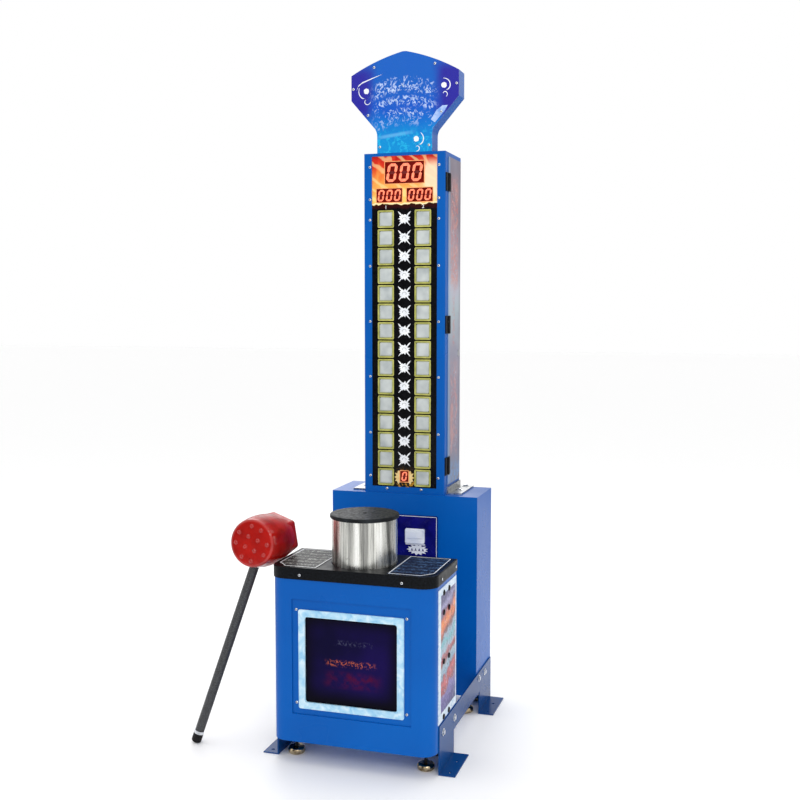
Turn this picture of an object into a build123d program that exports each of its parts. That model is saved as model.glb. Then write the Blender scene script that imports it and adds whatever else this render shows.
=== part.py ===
from build123d import *
import math
import os

# Hammer strength tester. Millimetres, +Z up, floor at z = 0.
# X runs to the right of someone facing the machine, Y runs from the player to the back.
# The origin is on the floor, in the middle of the floor anchor holes.

# ---------------------------------------------------------------- overall sizes
machine_height = 2250
body_width = 520
body_depth = 752
pedestal_depth = 256
cabinet_depth = 214
floor_gap = 72
table_height = 616
cabinet_height = 762
tower_width = 286
tower_depth = 205
tower_height = 1156
sheet = 2
through = 40

half_width = body_width / 2
half_tower = tower_width / 2
tower_top = cabinet_height + tower_height
front_y = -body_depth / 2
back_y = body_depth / 2
pedestal_mid_y = front_y + pedestal_depth / 2
pedestal_back_y = front_y + pedestal_depth
cabinet_front_y = back_y - cabinet_depth
tower_back_y = back_y - 2
tower_front_y = tower_back_y - tower_depth

# ---------------------------------------------------------------- fasteners
pan_head_r = 4.6
pan_head_height = 2.6
pan_shank_r = 2
pan_shank_length = 7
button_head_r = 9
button_head_height = 4
button_shank_r = 3
button_shank_length = 7.5
hex_bolt_r = 8
hex_bolt_height = 5
hex_shank_r = 4
hex_shank_length = 14
hole_clearance = 0.15

FRONT = (0, -1, 0)
BACK = (0, 1, 0)
RIGHT = (1, 0, 0)
LEFT = (-1, 0, 0)
UP = (0, 0, 1)


def facing(direction, points):
    """Planes at the points, each looking along the direction."""
    return [Plane(origin=point, z_dir=direction) for point in points]


def block(low, high, mode=Mode.ADD):
    """A box between two corners, in the part being built."""
    size = [b - a for a, b in zip(low, high)]
    middle = tuple((a + b) / 2 for a, b in zip(low, high))
    with Locations(middle):
        Box(*size, mode=mode)


def twin_blocks(low, high, mode=Mode.ADD):
    """A box and its mirror image across the centre plane."""
    block(low, high, mode)
    block((-high[0], low[1], low[2]), (-low[0], high[1], high[2]), mode)


def drill(places, radius, depth=through):
    """Round holes through the part being built, centred on the places."""
    with Locations(*places):
        Cylinder(radius, depth, mode=Mode.SUBTRACT)


def round_fasteners(places, head_r, head_height, shank_r, shank_length):
    """Round-headed screws standing on the places, shanks going in."""
    with Locations(*places):
        Cylinder(head_r, head_height, align=(Align.CENTER, Align.CENTER, Align.MIN))
        Cylinder(shank_r, shank_length, align=(Align.CENTER, Align.CENTER, Align.MAX))


def both_sides(points):
    """The points and their mirror images across the centre plane."""
    return list(points) + [(-x, y, z) for x, y, z in points]


pieces = {}

# ---------------------------------------------------------------- pedestal
corner_r = 45
recess_half_width = half_width - 70
recess_bottom = floor_gap + 88
recess_top = table_height - 98
recess_depth = 4
window_half_width = recess_half_width - 43.5
window_bottom = recess_bottom + 41
window_top = recess_top - 52
window_border = 21.5
frame_stands_proud = 1
pane_margin = 8
pane_thickness = 3
rear_frame_width = 25
skirt_height = 36
skirt_wall = 2.5
skirt_play = 0.5
table_plate_thickness = 4
shell_top = table_height - table_plate_thickness - 1
drum_r = 101
drum_y = pedestal_mid_y + 5
drum_hole_play = 2

window_screw_x = window_half_width + window_border + 8
window_screw_places = facing(FRONT, both_sides([
    (window_screw_x, front_y + recess_depth, window_bottom - 5),
    (window_screw_x, front_y + recess_depth, window_top + 20),
]))

# printed side panels and the black screws that hold them and the frame rails
art_panel_thickness = 2
art_panel_front_y = front_y + corner_r
art_panel_back_y = pedestal_back_y - 4
art_panel_bottom = floor_gap + 84
art_panel_top = table_height - 50
rail_half_depth = 55
rail_screw_offset = 30
rail_screw_heights = (
    art_panel_bottom + 8,
    art_panel_bottom + 180,
    art_panel_top - 79,
    art_panel_top - 19,
)
side_screw_points = [
    (half_width + art_panel_thickness, drum_y + offset, height)
    for offset in (-rail_screw_offset, rail_screw_offset)
    for height in rail_screw_heights
]
side_screw_places = facing(RIGHT, side_screw_points) + facing(
    LEFT, [(-x, y, z) for x, y, z in side_screw_points]
)

# side brackets: one arch-shaped plate each side, folded out into two floor feet
bracket_thickness = 4
bracket_bottom = floor_gap + 8
bracket_top = floor_gap + 78
bracket_front_y = front_y + 52
bracket_back_y = back_y - 8
leg_depth = 170
foot_width = 48
anchor_hole_r = 5.5
anchor_outer_y = back_y - 76
anchor_inner_y = back_y - 161
anchor_x = half_width + bracket_thickness + 25
bracket_bolt_points = [
    (half_width + bracket_thickness, front_y + 92, bracket_top - 30),
    (half_width + bracket_thickness, pedestal_back_y - 30, bracket_top - 34),
    (half_width + bracket_thickness, cabinet_front_y + 24, bracket_top - 19),
    (half_width + bracket_thickness, cabinet_front_y + 110, bracket_top - 24),
]
bracket_bolt_places = facing(RIGHT, bracket_bolt_points) + facing(
    LEFT, [(-x, y, z) for x, y, z in bracket_bolt_points]
)

# levelling feet
glide_r = 27
glide_height = 22
stem_r = 5
stem_into_body = 22
lock_nut_r = 15
lock_nut_height = 10
glide_x = half_width - 48
pedestal_glide_y = (front_y + 85, pedestal_back_y - 45)
cabinet_glide_y = (cabinet_front_y + 45, back_y - 45)
glide_spots = [(x, y) for x in (-glide_x, glide_x) for y in pedestal_glide_y + cabinet_glide_y]

# wiring conduit across the gap
conduit_r = 12.5
conduit_wall = 1.5
conduit_x = -120
conduit_z = floor_gap + 128
conduit_reach = 12
conduit_nut_r = 19
conduit_nut_height = 6
conduit_hole = facing(BACK, [(conduit_x, pedestal_back_y, conduit_z)])
conduit_cabinet_hole = facing(BACK, [(conduit_x, cabinet_front_y, conduit_z)])

rear_screw_x = half_width - 14
rear_screw_places = facing(BACK, both_sides([
    (rear_screw_x, pedestal_back_y + sheet, floor_gap + 16),
    (rear_screw_x, pedestal_back_y + sheet, (floor_gap + shell_top - skirt_height) / 2),
    (rear_screw_x, pedestal_back_y + sheet, shell_top - skirt_height - 8),
]))

# tabletop skirt and its screws, which also pass through the shell
table_overhang = skirt_wall + skirt_play
table_screw_z = table_height - 22
table_front_y = front_y - table_overhang
table_back_y = pedestal_back_y + table_overhang
table_screw_places = (
    facing(FRONT, both_sides([(162, table_front_y, table_screw_z)]))
    + facing(BACK, both_sides([(162, table_back_y, table_screw_z)]))
    + facing(RIGHT, [
        (half_width + table_overhang, front_y + 80, table_screw_z),
        (half_width + table_overhang, pedestal_back_y - 12, table_screw_z),
    ])
    + facing(LEFT, [
        (-half_width - table_overhang, front_y + 80, table_screw_z),
        (-half_width - table_overhang, pedestal_back_y - 12, table_screw_z),
    ])
)

with BuildPart() as pedestal_shell:
    with BuildSketch(Plane.XY.offset(floor_gap)) as footprint:
        with Locations((0, pedestal_mid_y)):
            Rectangle(body_width, pedestal_depth)
        fillet(footprint.vertices().group_by(Axis.Y)[0], corner_r)
    extrude(amount=shell_top - floor_gap)
    with BuildSketch(Plane.XY.offset(floor_gap + sheet)) as inside:
        with Locations((0, pedestal_mid_y)):
            Rectangle(body_width - 2 * sheet, pedestal_depth - 2 * sheet)
        fillet(inside.vertices().group_by(Axis.Y)[0], corner_r - sheet)
    extrude(amount=shell_top - floor_gap, mode=Mode.SUBTRACT)
    block(
        (-recess_half_width - sheet, front_y, recess_bottom - sheet),
        (recess_half_width + sheet, front_y + recess_depth + sheet, recess_top + sheet),
    )
    block(
        (-recess_half_width, front_y - 1, recess_bottom),
        (recess_half_width, front_y + recess_depth, recess_top),
        Mode.SUBTRACT,
    )
    block(
        (-window_half_width - 1, front_y - 1, window_bottom - 1),
        (window_half_width + 1, front_y + through, window_top + 1),
        Mode.SUBTRACT,
    )
    block(
        (-half_width + rear_frame_width, pedestal_back_y - through, floor_gap + rear_frame_width),
        (half_width - rear_frame_width, pedestal_back_y + 1, shell_top - 1.5 * skirt_height),
        Mode.SUBTRACT,
    )
    drill(window_screw_places + table_screw_places, pan_shank_r + hole_clearance)
    drill(side_screw_places, button_shank_r + hole_clearance)
    drill(bracket_bolt_places[0:2] + bracket_bolt_places[4:6], hex_shank_r + hole_clearance)
    drill(rear_screw_places, pan_shank_r + hole_clearance)
    drill(
        [(x, y, floor_gap) for x, y in glide_spots if y < pedestal_back_y],
        stem_r + hole_clearance,
    )
pieces["pedestal_shell"] = pedestal_shell

with BuildPart() as pedestal_rear_panel:
    block(
        (-half_width, pedestal_back_y, floor_gap + 2),
        (half_width, pedestal_back_y + sheet, table_height - skirt_height - 1),
    )
    drill(rear_screw_places, pan_shank_r + hole_clearance)
    drill(conduit_hole, conduit_r + hole_clearance)
pieces["pedestal_rear_panel"] = pedestal_rear_panel

# ---------------------------------------------------------------- tabletop
with BuildPart() as tabletop:
    with BuildSketch(Plane.XY.offset(table_height - skirt_height)) as outline:
        with Locations((0, pedestal_mid_y)):
            Rectangle(body_width + 2 * table_overhang, pedestal_depth + 2 * table_overhang)
        fillet(outline.vertices().group_by(Axis.Y)[0], corner_r + table_overhang)
    extrude(amount=skirt_height)
    fillet(tabletop.edges().group_by(Axis.Z)[-1], 3)
    with BuildSketch(Plane.XY.offset(table_height - skirt_height)) as underside:
        with Locations((0, pedestal_mid_y)):
            Rectangle(body_width + 2 * skirt_play, pedestal_depth + 2 * skirt_play)
        fillet(underside.vertices().group_by(Axis.Y)[0], corner_r + skirt_play)
    extrude(amount=skirt_height - table_plate_thickness, mode=Mode.SUBTRACT)
    drill([(0, drum_y, table_height)], drum_r + drum_hole_play)
    drill(table_screw_places, pan_shank_r + hole_clearance, 4 * skirt_wall)
pieces["tabletop"] = tabletop

# speckled plates on the tabletop, one each side of the drum
plate_inner_x = drum_r + drum_hole_play + 10
plate_outer_x = half_width - 11
plate_corner_cut = (33, 38)
plate_front_y = front_y + 9
plate_back_y = pedestal_back_y - 12
plate_thickness = 1

with BuildPart() as table_plates:
    with BuildSketch(Plane.XY.offset(table_height)):
        with BuildLine():
            Polyline(
                (plate_inner_x, plate_front_y),
                (plate_outer_x - plate_corner_cut[0], plate_front_y),
                (plate_outer_x, plate_front_y + plate_corner_cut[1]),
                (plate_outer_x, plate_back_y),
                (plate_inner_x, plate_back_y),
                close=True,
            )
        make_face()
        mirror(about=Plane.YZ)
    extrude(amount=plate_thickness)
pieces["table_plates"] = table_plates

# ---------------------------------------------------------------- pedestal window
with BuildPart() as window_frame:
    with BuildSketch(Plane.XZ.offset(-(front_y + recess_depth))):
        with Locations((0, (window_bottom + window_top) / 2)):
            RectangleRounded(
                2 * (window_half_width + window_border),
                window_top - window_bottom + 2 * window_border,
                6,
            )
            RectangleRounded(2 * window_half_width, window_top - window_bottom, 8, mode=Mode.SUBTRACT)
    extrude(amount=recess_depth + frame_stands_proud)
pieces["window_frame"] = window_frame

pane_front_y = front_y + recess_depth + sheet
with BuildPart() as window_pane:
    block(
        (-window_half_width - pane_margin, pane_front_y, window_bottom - pane_margin),
        (window_half_width + pane_margin, pane_front_y + pane_thickness, window_top + pane_margin),
    )
pieces["window_pane"] = window_pane

light_board_thickness = 1.6
light_board_y = pane_front_y + pane_thickness + 8
lamp_chip = 5
# ---------------------------------------------------------------- printed side panels
with BuildPart() as side_art_panels:
    twin_blocks(
        (half_width, art_panel_front_y, art_panel_bottom),
        (half_width + art_panel_thickness, art_panel_back_y, art_panel_top),
    )
    drill(side_screw_places, button_shank_r + hole_clearance)
pieces["side_art_panels"] = side_art_panels

# ---------------------------------------------------------------- side brackets
front_leg_back_y = bracket_front_y + leg_depth
rear_leg_front_y = bracket_back_y - leg_depth
with BuildPart() as side_brackets:
    for sign in (-1, 1):
        with BuildSketch(Plane.YZ.offset(sign * half_width)):
            with BuildLine():
                Polyline(
                    (bracket_front_y, 0),
                    (front_leg_back_y, 0),
                    (front_leg_back_y, bracket_bottom),
                    (rear_leg_front_y, bracket_bottom),
                    (rear_leg_front_y, 0),
                    (bracket_back_y, 0),
                    (bracket_back_y, bracket_top),
                    (bracket_front_y, bracket_top),
                    close=True,
                )
            make_face()
        extrude(amount=sign * bracket_thickness)
    for foot_y in (bracket_front_y, rear_leg_front_y):
        twin_blocks(
            (half_width, foot_y, 0),
            (half_width + bracket_thickness + foot_width, foot_y + leg_depth, bracket_thickness),
        )
    drill(bracket_bolt_places, hex_shank_r + hole_clearance)
    drill(
        both_sides([
            (anchor_x, y, 0)
            for y in (-anchor_outer_y, -anchor_inner_y, anchor_inner_y, anchor_outer_y)
        ]),
        anchor_hole_r,
    )
pieces["side_brackets"] = side_brackets

# ---------------------------------------------------------------- levelling feet
with BuildPart() as foot_glides:
    with Locations(*[(x, y, 0) for x, y in glide_spots]):
        Cylinder(glide_r, glide_height, align=(Align.CENTER, Align.CENTER, Align.MIN))
    fillet(foot_glides.edges().filter_by(GeomType.CIRCLE), glide_height / 2 - 2)
    drill([(x, y, glide_height) for x, y in glide_spots], stem_r + hole_clearance, 16)
pieces["foot_glides"] = foot_glides

with BuildPart() as foot_stems:
    with Locations(*[(x, y, glide_height - 8) for x, y in glide_spots]):
        Cylinder(
            stem_r,
            floor_gap + stem_into_body - glide_height + 8,
            align=(Align.CENTER, Align.CENTER, Align.MIN),
        )
    with Locations(*[(x, y, floor_gap - lock_nut_height) for x, y in glide_spots]):
        Cylinder(lock_nut_r, lock_nut_height, align=(Align.CENTER, Align.CENTER, Align.MIN))
pieces["foot_stems"] = foot_stems

# ---------------------------------------------------------------- strike mechanism
rail_web = 4
rail_inner_x = half_width - sheet - rail_web
rail_bottom = floor_gap + 78
rail_top = shell_top - 49
rail_flange = 30
guide_plate_thickness = 8
upper_guide_z = table_height - 132
lower_guide_z = upper_guide_z - 154
shaft_r = 15
shaft_bottom = lower_guide_z - 30
shaft_play = 0.05
bush_r = 20
bush_flange_r = 28
bush_flange_height = 4
drum_wall = 1.5
drum_bottom = table_height - 56
drum_top = table_height + 141
strike_plate_thickness = 8
pad_thickness = 12
pad_r = drum_r + 6
stroke = 35
upper_guide_top = upper_guide_z + guide_plate_thickness
strike_plate_bottom = drum_top - strike_plate_thickness

with BuildPart() as frame_rails:
    twin_blocks(
        (rail_inner_x, drum_y - rail_half_depth, rail_bottom),
        (rail_inner_x + rail_web, drum_y + rail_half_depth, rail_top),
    )
    for flange_y in (drum_y - rail_half_depth, drum_y + rail_half_depth - rail_web):
        twin_blocks(
            (rail_inner_x - rail_flange, flange_y, rail_bottom),
            (rail_inner_x + rail_web, flange_y + rail_web, rail_top),
        )
    drill(side_screw_places, button_shank_r + hole_clearance)
pieces["frame_rails"] = frame_rails

with BuildPart() as guide_plates:
    plate_half_depth = rail_half_depth - rail_web
    for plate_z in (upper_guide_z, lower_guide_z):
        block(
            (-rail_inner_x, drum_y - plate_half_depth, plate_z),
            (rail_inner_x, drum_y + plate_half_depth, plate_z + guide_plate_thickness),
        )
        drill([(0, drum_y, plate_z)], bush_r)
pieces["guide_plates"] = guide_plates

with BuildPart() as guide_bushes:
    for plate_z in (upper_guide_z, lower_guide_z):
        with Locations((0, drum_y, plate_z)):
            Cylinder(bush_r, guide_plate_thickness, align=(Align.CENTER, Align.CENTER, Align.MIN))
        with Locations((0, drum_y, plate_z + guide_plate_thickness)):
            Cylinder(
                bush_flange_r, bush_flange_height, align=(Align.CENTER, Align.CENTER, Align.MIN)
            )
    drill([(0, drum_y, lower_guide_z)], shaft_r + shaft_play, 4 * (upper_guide_z - lower_guide_z))
pieces["guide_bushes"] = guide_bushes

buffer_r = 27
buffer_height = 27
buffer_bottom = upper_guide_top + bush_flange_height
stop_collar_height = 12
collar_bottom = buffer_bottom + buffer_height + stroke + 2
with BuildPart() as buffer_ring:
    with Locations((0, drum_y, buffer_bottom)):
        Cylinder(buffer_r, buffer_height, align=(Align.CENTER, Align.CENTER, Align.MIN))
    fillet(buffer_ring.edges().group_by(Axis.Z)[-1], 3)
    drill([(0, drum_y, buffer_bottom)], shaft_r + 1.5, 4 * buffer_height)
pieces["buffer_ring"] = buffer_ring

spring_wire_r = 3.5
spring_mean_r = 34
spring_turns = 7
spring_bottom = upper_guide_top + spring_wire_r + 0.2
spring_top = strike_plate_bottom - spring_wire_r - 0.2
with BuildPart() as return_spring:
    with BuildLine(Plane.XY.offset(spring_bottom)) as coil:
        Helix(
            pitch=(spring_top - spring_bottom) / spring_turns,
            height=spring_top - spring_bottom,
            radius=spring_mean_r,
            center=(0, drum_y, 0),
        )
    with BuildSketch(Plane(origin=coil.line @ 0, z_dir=coil.line % 0)):
        Circle(spring_wire_r)
    sweep()
pieces["return_spring"] = return_spring

flag_reach = 12
flag_thickness = 2
flag_bottom = shaft_bottom - 30
retaining_collar_r = 24
retaining_collar_height = 12
with BuildPart() as plunger:
    with Locations((0, drum_y, shaft_bottom)):
        Cylinder(
            shaft_r, strike_plate_bottom - shaft_bottom, align=(Align.CENTER, Align.CENTER, Align.MIN)
        )
    with Locations((0, drum_y, lower_guide_z - retaining_collar_height - 0.5)):
        Cylinder(
            retaining_collar_r,
            retaining_collar_height,
            align=(Align.CENTER, Align.CENTER, Align.MIN),
        )
    with Locations((0, drum_y, collar_bottom)):
        Cylinder(bush_flange_r, stop_collar_height, align=(Align.CENTER, Align.CENTER, Align.MIN))
    block(
        (-flag_reach, drum_y - flag_thickness / 2, flag_bottom),
        (flag_reach, drum_y + flag_thickness / 2, shaft_bottom + 2),
    )
pieces["plunger"] = plunger

with BuildPart() as strike_plate:
    with Locations((0, drum_y, strike_plate_bottom)):
        Cylinder(
            drum_r - drum_wall, strike_plate_thickness, align=(Align.CENTER, Align.CENTER, Align.MIN)
        )
pieces["strike_plate"] = strike_plate

with BuildPart() as strike_drum:
    with Locations((0, drum_y, drum_bottom)):
        Cylinder(drum_r, drum_top - drum_bottom, align=(Align.CENTER, Align.CENTER, Align.MIN))
    drill([(0, drum_y, drum_bottom)], drum_r - drum_wall, 4 * (drum_top - drum_bottom))
pieces["strike_drum"] = strike_drum

dimple_r = 7
dimple_depth = 4
with BuildPart() as strike_pad:
    with Locations((0, drum_y, drum_top)):
        Cylinder(pad_r, pad_thickness, align=(Align.CENTER, Align.CENTER, Align.MIN))
    fillet(strike_pad.edges().group_by(Axis.Z)[-1], 4)
    fillet(strike_pad.edges().group_by(Axis.Z)[0], 3)
    drill([(0, drum_y, drum_top + pad_thickness)], dimple_r, 2 * dimple_depth)
pieces["strike_pad"] = strike_pad

# opto sensor on a post under the lower guide plate, reading the flag
sensor_z = flag_bottom - 22
sensor_slot_top = sensor_z + 14
sensor_inner_x = 2
sensor_outer_x = 38
sensor_half_depth = 11
slot_half_width = 4
with BuildPart() as impact_sensor:
    block(
        (sensor_inner_x, drum_y - sensor_half_depth, sensor_z),
        (sensor_outer_x, drum_y + sensor_half_depth, sensor_slot_top),
    )
    block(
        (sensor_inner_x - 1, drum_y - slot_half_width, sensor_z - 1),
        (flag_reach + 5, drum_y + slot_half_width, sensor_slot_top + 1),
        Mode.SUBTRACT,
    )
    block(
        (sensor_outer_x - 10, drum_y - sensor_half_depth, sensor_slot_top),
        (sensor_outer_x, drum_y + sensor_half_depth, lower_guide_z),
    )
pieces["impact_sensor"] = impact_sensor

with BuildPart() as wiring_conduit:
    conduit_front_y = pedestal_back_y - conduit_reach
    conduit_back_y = cabinet_front_y + conduit_reach
    with Locations(*facing(BACK, [(conduit_x, conduit_front_y, conduit_z)])):
        Cylinder(
            conduit_r, conduit_back_y - conduit_front_y, align=(Align.CENTER, Align.CENTER, Align.MIN)
        )
    with Locations(*facing(BACK, [
        (conduit_x, pedestal_back_y + sheet, conduit_z),
        (conduit_x, cabinet_front_y - conduit_nut_height, conduit_z),
    ])):
        Cylinder(
            conduit_nut_r, conduit_nut_height, align=(Align.CENTER, Align.CENTER, Align.MIN)
        )
    drill(conduit_hole, conduit_r - conduit_wall, 4 * cabinet_depth)
pieces["wiring_conduit"] = wiring_conduit

# ---------------------------------------------------------------- cabinet
door_opening_half_width = half_width - 48
door_opening_bottom = floor_gap + 124
door_opening_top = cabinet_height - 34
door_lap = 12
door_gap = 0.3
door_sheet = 2

control_half_width = 122
control_bottom = cabinet_height - 262
control_top = cabinet_height - 72
control_thickness = 3
control_front_y = cabinet_front_y - control_thickness

button_x = 43
button_z = control_top - 65
button_width = 58
button_height = 26
button_travel = 3.5
button_play = 0.5
bezel_width = button_width + 10
bezel_bottom = button_z - 31
bezel_top = button_z + 19
bezel_depth = 10
button_proud = 3
stem_play = 0.3
button_stem_r = 6

coin_x = -62
coin_plate_width = 70
coin_plate_bottom = control_top - 145
coin_plate_top = control_top - 25
coin_plate_thickness = 4
coin_slot_width = 3.6
coin_slot_height = 30
coin_slot_z = coin_plate_top - 30
reject_z = coin_plate_bottom + 30
reject_r = 9
reject_stem_r = 4
reject_proud = 5
reject_travel = 4

inlet_x = half_width - 90
inlet_z = floor_gap + 62
inlet_width = 50
inlet_height = 30
rocker_x = inlet_x - 50
speaker_x = 82 - half_width
speaker_y = back_y - cabinet_depth / 2
rocker_width = 22
rocker_height = 28

start_hole = facing(FRONT, [(button_x, cabinet_front_y, button_z)])
reject_hole = facing(FRONT, [(coin_x, cabinet_front_y, reject_z)])
flange_width = 53
flange_thickness = 5
flange_height = 24
flange_front_y = tower_front_y + 31
flange_bolt_points = both_sides([
    (half_tower + 27, cabinet_front_y + 102, cabinet_height + flange_thickness),
    (half_tower + 27, back_y - 18, cabinet_height + flange_thickness),
])

with BuildPart() as cabinet_shell:
    block((-half_width, cabinet_front_y, floor_gap), (half_width, back_y, cabinet_height))
    block(
        (-half_width + sheet, cabinet_front_y + sheet, floor_gap + sheet),
        (half_width - sheet, back_y - sheet, cabinet_height - sheet),
        Mode.SUBTRACT,
    )
    block(
        (-door_opening_half_width, back_y - through, door_opening_bottom),
        (door_opening_half_width, back_y + 1, door_opening_top),
        Mode.SUBTRACT,
    )
    block(
        (inlet_x - inlet_width / 2, back_y - through, inlet_z - inlet_height / 2),
        (inlet_x + inlet_width / 2, back_y + 1, inlet_z + inlet_height / 2),
        Mode.SUBTRACT,
    )
    block(
        (rocker_x - rocker_width / 2, back_y - through, inlet_z - rocker_height / 2),
        (rocker_x + rocker_width / 2, back_y + 1, inlet_z + rocker_height / 2),
        Mode.SUBTRACT,
    )
    block(
        (coin_x - coin_slot_width / 2, cabinet_front_y - 1, coin_slot_z - coin_slot_height / 2),
        (coin_x + coin_slot_width / 2, cabinet_front_y + through, coin_slot_z + coin_slot_height / 2),
        Mode.SUBTRACT,
    )
    drill(start_hole, button_stem_r + stem_play)
    drill(reject_hole, reject_stem_r + stem_play)
    drill(conduit_cabinet_hole, conduit_r + hole_clearance)
    drill(bracket_bolt_places[2:4] + bracket_bolt_places[6:8], hex_shank_r + hole_clearance)
    drill(
        [(x, y, floor_gap) for x, y in glide_spots if y > cabinet_front_y],
        stem_r + hole_clearance,
    )
    drill(flange_bolt_points, hex_shank_r + hole_clearance)
    with Locations((speaker_x, speaker_y, floor_gap)):
        with PolarLocations(22, 10):
            Cylinder(4, through, mode=Mode.SUBTRACT)
pieces["cabinet_shell"] = cabinet_shell

with BuildPart() as control_plate:
    block(
        (-control_half_width, control_front_y, control_bottom),
        (control_half_width, cabinet_front_y, control_top),
    )
    fillet(control_plate.edges().filter_by(Axis.Y), 4)
    block(
        (coin_x - coin_slot_width / 2, control_front_y - 1, coin_slot_z - coin_slot_height / 2),
        (coin_x + coin_slot_width / 2, cabinet_front_y + 1, coin_slot_z + coin_slot_height / 2),
        Mode.SUBTRACT,
    )
    drill(start_hole, button_stem_r + stem_play)
    drill(reject_hole, reject_stem_r + stem_play)
pieces["control_plate"] = control_plate

with BuildPart() as start_bezel:
    block(
        (button_x - bezel_width / 2, control_front_y - bezel_depth, bezel_bottom),
        (button_x + bezel_width / 2, control_front_y, bezel_top),
    )
    fillet(start_bezel.edges().filter_by(Axis.Y), 4)
    fillet(start_bezel.edges().group_by(Axis.Y)[0], 2)
    block(
        (
            button_x - button_width / 2 - button_play,
            control_front_y - bezel_depth - 1,
            button_z - button_height / 2 - button_play,
        ),
        (
            button_x + button_width / 2 + button_play,
            control_front_y + 1,
            button_z + button_height / 2 + button_play,
        ),
        Mode.SUBTRACT,
    )
pieces["start_bezel"] = start_bezel

cap_front_y = control_front_y - bezel_depth - button_proud
cap_back_y = control_front_y - button_travel - 0.5
stem_back_y = cabinet_front_y + sheet + 10
switch_front_y = stem_back_y + button_travel + 0.5
with BuildPart() as start_button:
    block(
        (button_x - button_width / 2, cap_front_y, button_z - button_height / 2),
        (button_x + button_width / 2, cap_back_y, button_z + button_height / 2),
    )
    fillet(start_button.edges().group_by(Axis.Y)[0], 1.5)
    with Locations(*facing(BACK, [(button_x, cap_back_y, button_z)])):
        Cylinder(
            button_stem_r, stem_back_y - cap_back_y, align=(Align.CENTER, Align.CENTER, Align.MIN)
        )
pieces["start_button"] = start_button

with BuildPart() as start_switch:
    block(
        (button_x - 14, switch_front_y, button_z - 10),
        (button_x + 14, switch_front_y + 18, button_z + 6),
    )
    for side_x in (button_x - 16, button_x + 14):
        block(
            (side_x, cabinet_front_y + sheet, button_z - 10),
            (side_x + 2, switch_front_y + 18, button_z + 6),
        )
pieces["start_switch"] = start_switch

with BuildPart() as coin_slot_plate:
    block(
        (coin_x - coin_plate_width / 2, control_front_y - coin_plate_thickness, coin_plate_bottom),
        (coin_x + coin_plate_width / 2, control_front_y, coin_plate_top),
    )
    fillet(coin_slot_plate.edges().filter_by(Axis.Y), 5)
    block(
        (
            coin_x - coin_slot_width / 2,
            control_front_y - coin_plate_thickness - 1,
            coin_slot_z - coin_slot_height / 2,
        ),
        (coin_x + coin_slot_width / 2, control_front_y + 1, coin_slot_z + coin_slot_height / 2),
        Mode.SUBTRACT,
    )
    drill(reject_hole, reject_stem_r + stem_play)
pieces["coin_slot_plate"] = coin_slot_plate

coin_plate_front_y = control_front_y - coin_plate_thickness
reject_stem_end_y = cabinet_front_y + sheet + 8
with BuildPart() as coin_reject_button:
    with Locations(*facing(FRONT, [(coin_x, coin_plate_front_y - reject_travel - 0.5, reject_z)])):
        Cylinder(reject_r, reject_proud, align=(Align.CENTER, Align.CENTER, Align.MIN))
    fillet(coin_reject_button.edges().group_by(Axis.Y)[0], 1.5)
    with Locations(*facing(FRONT, [(coin_x, reject_stem_end_y, reject_z)])):
        Cylinder(
            reject_stem_r,
            reject_stem_end_y - coin_plate_front_y + reject_travel + 0.5,
            align=(Align.CENTER, Align.CENTER, Align.MIN),
        )
pieces["coin_reject_button"] = coin_reject_button

mech_front_y = cabinet_front_y + sheet
mech_back_y = mech_front_y + 52
mech_half_width = 34
mech_bottom = coin_plate_bottom + 7
mech_top = coin_plate_top - 3
with BuildPart() as coin_mech:
    block(
        (coin_x - mech_half_width, mech_front_y, mech_bottom),
        (coin_x + mech_half_width, mech_back_y, mech_top),
    )
    block(
        (
            coin_x - coin_slot_width / 2,
            mech_front_y - 1,
            coin_slot_z - coin_slot_height / 2,
        ),
        (coin_x + coin_slot_width / 2, mech_back_y - 10, coin_slot_z + coin_slot_height / 2),
        Mode.SUBTRACT,
    )
    drill(
        facing(BACK, [(coin_x, mech_front_y, reject_z)]),
        reject_stem_r + stem_play,
        2 * (reject_stem_end_y - mech_front_y + reject_travel + 0.5),
    )
pieces["coin_mech"] = coin_mech

cash_box_half_width = 75
cash_box_low = (coin_x - cash_box_half_width, cabinet_front_y + 12, floor_gap + sheet)
cash_box_high = (coin_x + cash_box_half_width, cabinet_front_y + 152, floor_gap + 122)
with BuildPart() as cash_box:
    block(cash_box_low, cash_box_high)
    block(
        tuple(value + sheet for value in cash_box_low),
        (cash_box_high[0] - sheet, cash_box_high[1] - sheet, cash_box_high[2] + 1),
        Mode.SUBTRACT,
    )
pieces["cash_box"] = cash_box

supply_x = 109
supply_width = 98
supply_front_y = cabinet_front_y + 30
supply_depth = 150
supply_height = 40
with BuildPart() as power_supply:
    block(
        (supply_x - supply_width / 2, supply_front_y, floor_gap + sheet),
        (supply_x + supply_width / 2, supply_front_y + supply_depth, floor_gap + sheet + supply_height),
    )
    with Locations((supply_x, supply_front_y + supply_depth / 2, floor_gap + sheet + supply_height)):
        with GridLocations(12, 14, 7, 9):
            Cylinder(3, 4, mode=Mode.SUBTRACT)
pieces["power_supply"] = power_supply

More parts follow.
